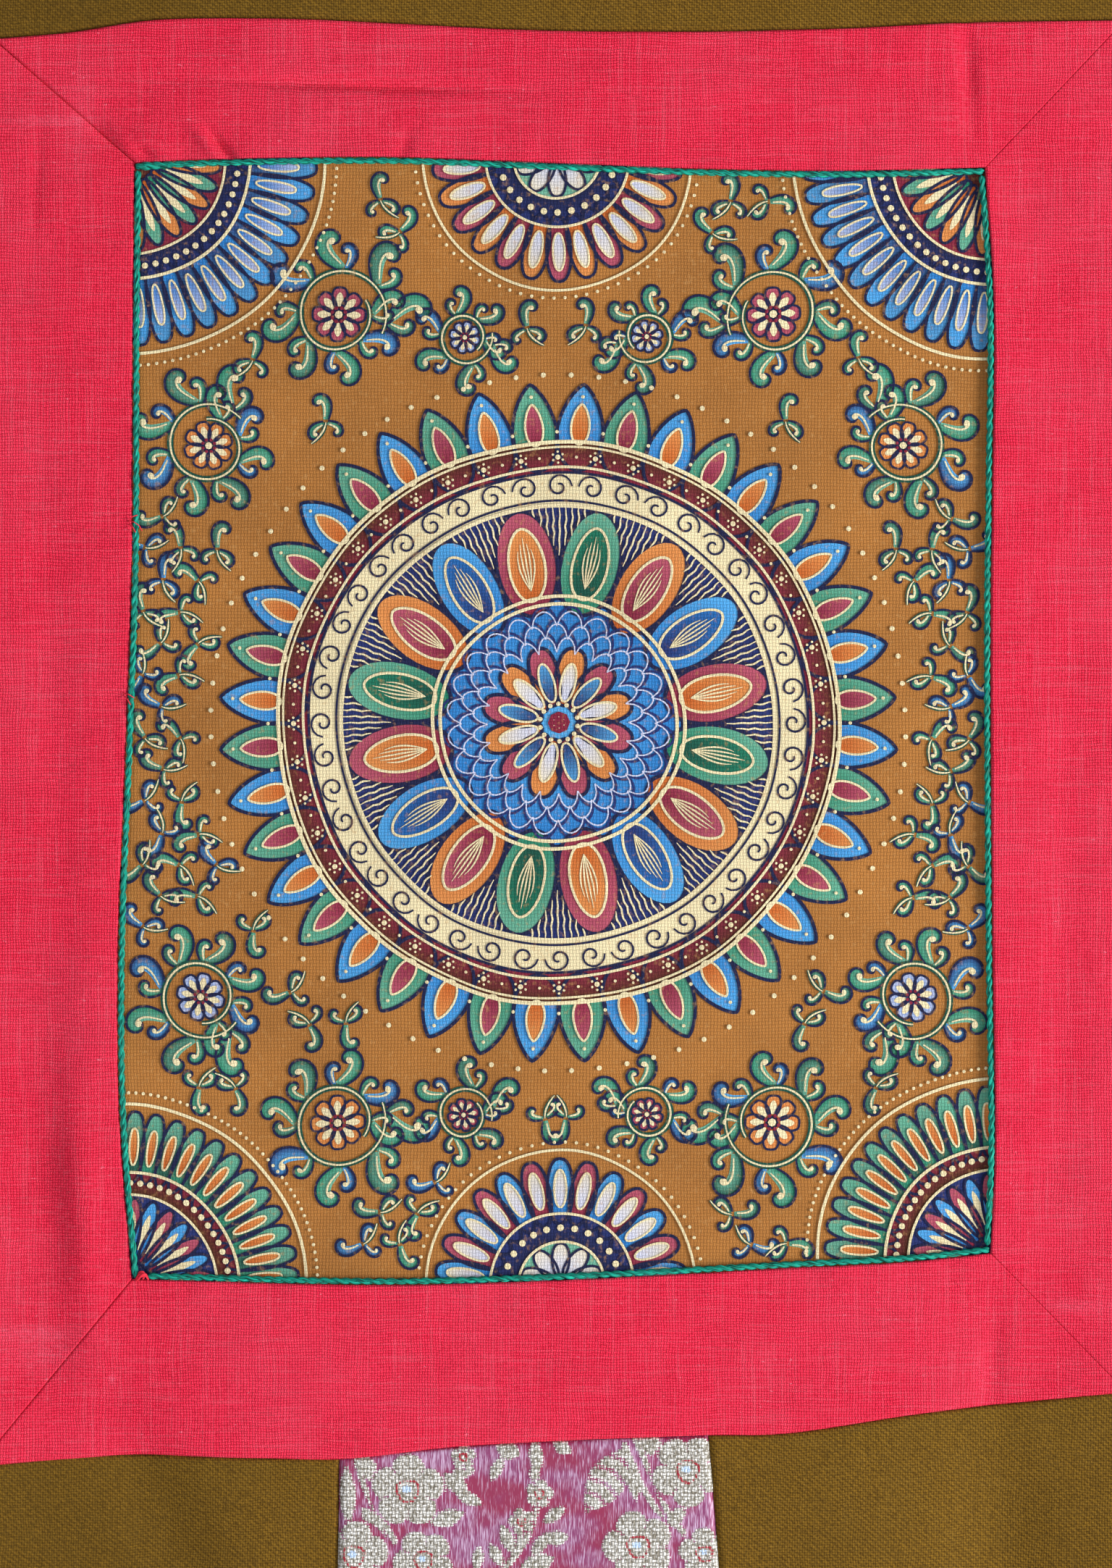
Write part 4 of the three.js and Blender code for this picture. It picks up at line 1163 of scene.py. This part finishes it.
plan = cut(DOOR_TOP, DOOR_BOTTOM, DOOR_LEFT, DOOR_RIGHT, pitch=DOOR_PITCH)
x, z = plan[..., 0], plan[..., 1]
marks = brocade_marks(x, z)
raised = FIGURE_RISE * np.clip(marks["figure"] / 0.6 + 0.5, 0, 1) + 0.5 * slack(x, z)
rolls = {"top": SEAM_ROLL, "left": DOOR_ROLL, "right": DOOR_ROLL, "bottom": HEM_ROLL}
brocade = cloth_sheet(
    "door_brocade", plan, DOOR_FRONT, rolls, DOOR_THICKNESS, silver_brocade(), raised, marks,
    allowances=("top",),
)
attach(brocade, "root")
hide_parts("door_panel")


# Sewing threads: the pale hand stitches that show along the lower left mitre, the red tack that closes
# the window's lower left corner, and red ends of thread that stand out over the cord.
THREAD_SIDES = 6
STITCH_RADIUS = 0.2  # mm
TACK_RADIUS = 0.26  # mm
END_RADIUS = 0.12  # mm
MITRE_STITCHES = ((-104.8, -123.2), (-106.8, -125.7), (-108.5, -127.8), (-110.4, -130), (-112.6, -132.5))
TACKS = (  # knots of each loop: x, z and mm in front of the mount's face
    (
        (-96.6, -113.9, 0.2), (-96, -112.9, 1), (-95.2, -112.4, 1.1), (-94.4, -112.6, 0.8),
        (-93.9, -113.6, 0.2),
    ),
    (
        (-96.4, -114.2, 0.4), (-95.7, -113.3, 1.2), (-94.9, -112.9, 1.2), (-94.2, -113.1, 0.9),
        (-93.8, -113.9, 0.3),
    ),
    (
        (-96.3, -113, -0.2), (-95.6, -112.1, 0.8), (-94.9, -112.1, 0.9), (-94.6, -112.9, 0.9),
        (-95, -113.8, 0.4),
    ),
    ((-96, -113.9, 0.6), (-95.4, -112.9, 1.4), (-94.7, -112.5, 1.4), (-94.2, -112.8, 1)),
)
LOOSE_ENDS = (  # in the same form, at two places along the left edge
    ((-98.4, 60.6, 0.2), (-97.0, 60.2, 1.3), (-95.8, 59.4, 1.2), (-95.2, 58.2, 0.4)),
    ((-98.4, 59.8, 0.2), (-97.2, 59.0, 1.5), (-96.6, 57.8, 1.4)),
    ((-98.4, 60.2, 0.3), (-97.4, 61.4, 1.4), (-96.2, 61.8, 0.9)),
    ((-99.6, 21.0, 0.2), (-98.2, 20.6, 1.3), (-97.0, 19.8, 0.9)),
    ((-99.6, 20.4, 0.2), (-98.4, 19.4, 1.4), (-97.8, 18.2, 1.0)),
)


def thread_material(name, colour):
    """Sewing cotton: matt, of one colour."""
    material, _, shader = new_material(name)
    shader.inputs["Base Color"].default_value = linear(colour)
    shader.inputs["Roughness"].default_value = 0.8
    return material


def threads(name, paths, radius, material):
    """Lengths of thread along paths of x, z and mm in front of the mount's face, as one piece."""
    points, faces = [], []
    for path in paths:
        knots = np.array(path, float)
        share = np.linspace(0, len(knots) - 1, 5 * len(knots))
        run = np.stack([np.interp(share, np.arange(len(knots)), knots[:, k]) for k in range(3)], axis=1)
        for _ in range(2):
            run[1:-1] = (run[:-2] + 2 * run[1:-1] + run[2:]) / 4
        middle = hung(*run.T) / MM
        side, front = cross_axes(middle, (-0.3, -0.5, -0.8))
        more, walls = tube(middle, radius, side, front, THREAD_SIDES, sum(map(len, points)))
        points.append(more)
        faces += walls
    piece = new_piece(name, np.vstack(points) * MM, faces, material)
    piece.data.shade_smooth()
    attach(piece, "root")


stitches = [((x - 0.45, z + 0.2, 0.0), (x, z, 0.35), (x + 0.45, z - 0.2, 0.0)) for x, z in MITRE_STITCHES]
red_thread = thread_material("red sewing cotton", "#d81f36")
threads("mitre_stitches", stitches, STITCH_RADIUS, thread_material("pale sewing cotton", "#d8b4b0"))
threads("corner_tack", TACKS, TACK_RADIUS, red_thread)
threads("loose_ends", LOOSE_ENDS, END_RADIUS, red_thread)


# Floor: a plain pale studio floor, matt and faintly mottled.
# It lies well below the hanging scroll, which doesn't touch it.
FLOOR_DROP = 350  # mm below the lowest hem
FLOOR_SIZE = 12  # m

bpy.ops.object.select_all(action="DESELECT")
bpy.ops.mesh.primitive_plane_add(size=FLOOR_SIZE, location=(0, 0, 0))
floor = bpy.context.object
floor.name = "floor"
floor.data.transform(Matrix.Translation((0, 0, cad_box[0][2] - FLOOR_DROP * MM)))
studio_floor, tree, shader = new_material("pale studio floor")
place = add(tree, "TexCoord", {}, "Object")
mottle = add(tree, "TexNoise", {"Vector": place, "Scale": 1 / (120 * MM), "Detail": 3.0})
shade = add(tree, "Mix", {6: linear("#d9d9d6"), 7: linear("#e4e4e1"), "Factor": mottle}, 2, data_type="RGBA")
tree.links.new(shade, shader.inputs["Base Color"])
shader.inputs["Roughness"].default_value = 0.7
floor.data.materials.append(studio_floor)


# Light: a broad soft window light from the viewer's right, weaker ones from the left and from behind,
# and pale light from the room all round.
SOFT_LIGHTS = (  # place and size in m, power in W, colour
    ("window_light", (1.6, -0.85, -0.45), 0.7, 44, "#ffffff"),
    ("fill_light", (-0.6, -1.9, -0.4), 1.5, 19, "#e9edff"),
    ("back_light", (-0.7, 2.2, 1.6), 1.6, 62, "#ffffff"),
)
for name, place, size, power, colour in SOFT_LIGHTS:
    lamp = bpy.data.lights.new(name, "AREA")
    lamp.size = size
    lamp.energy = power
    lamp.color = linear(colour)[:3]
    source = bpy.data.objects.new(name, lamp)
    source.location = place
    aim = Vector((0, 0, PICTURE_LEVEL * MM)) - source.location
    source.rotation_euler = aim.to_track_quat("-Z", "Y").to_euler()
    bpy.context.scene.collection.objects.link(source)

room = bpy.data.worlds.new("room")
room.use_nodes = True
background = room.node_tree.nodes["Background"]
background.inputs["Color"].default_value = linear("#e9e9ec")
background.inputs["Strength"].default_value = 0.22
bpy.context.scene.world = room
bpy.context.scene.view_settings.view_transform = "Standard"
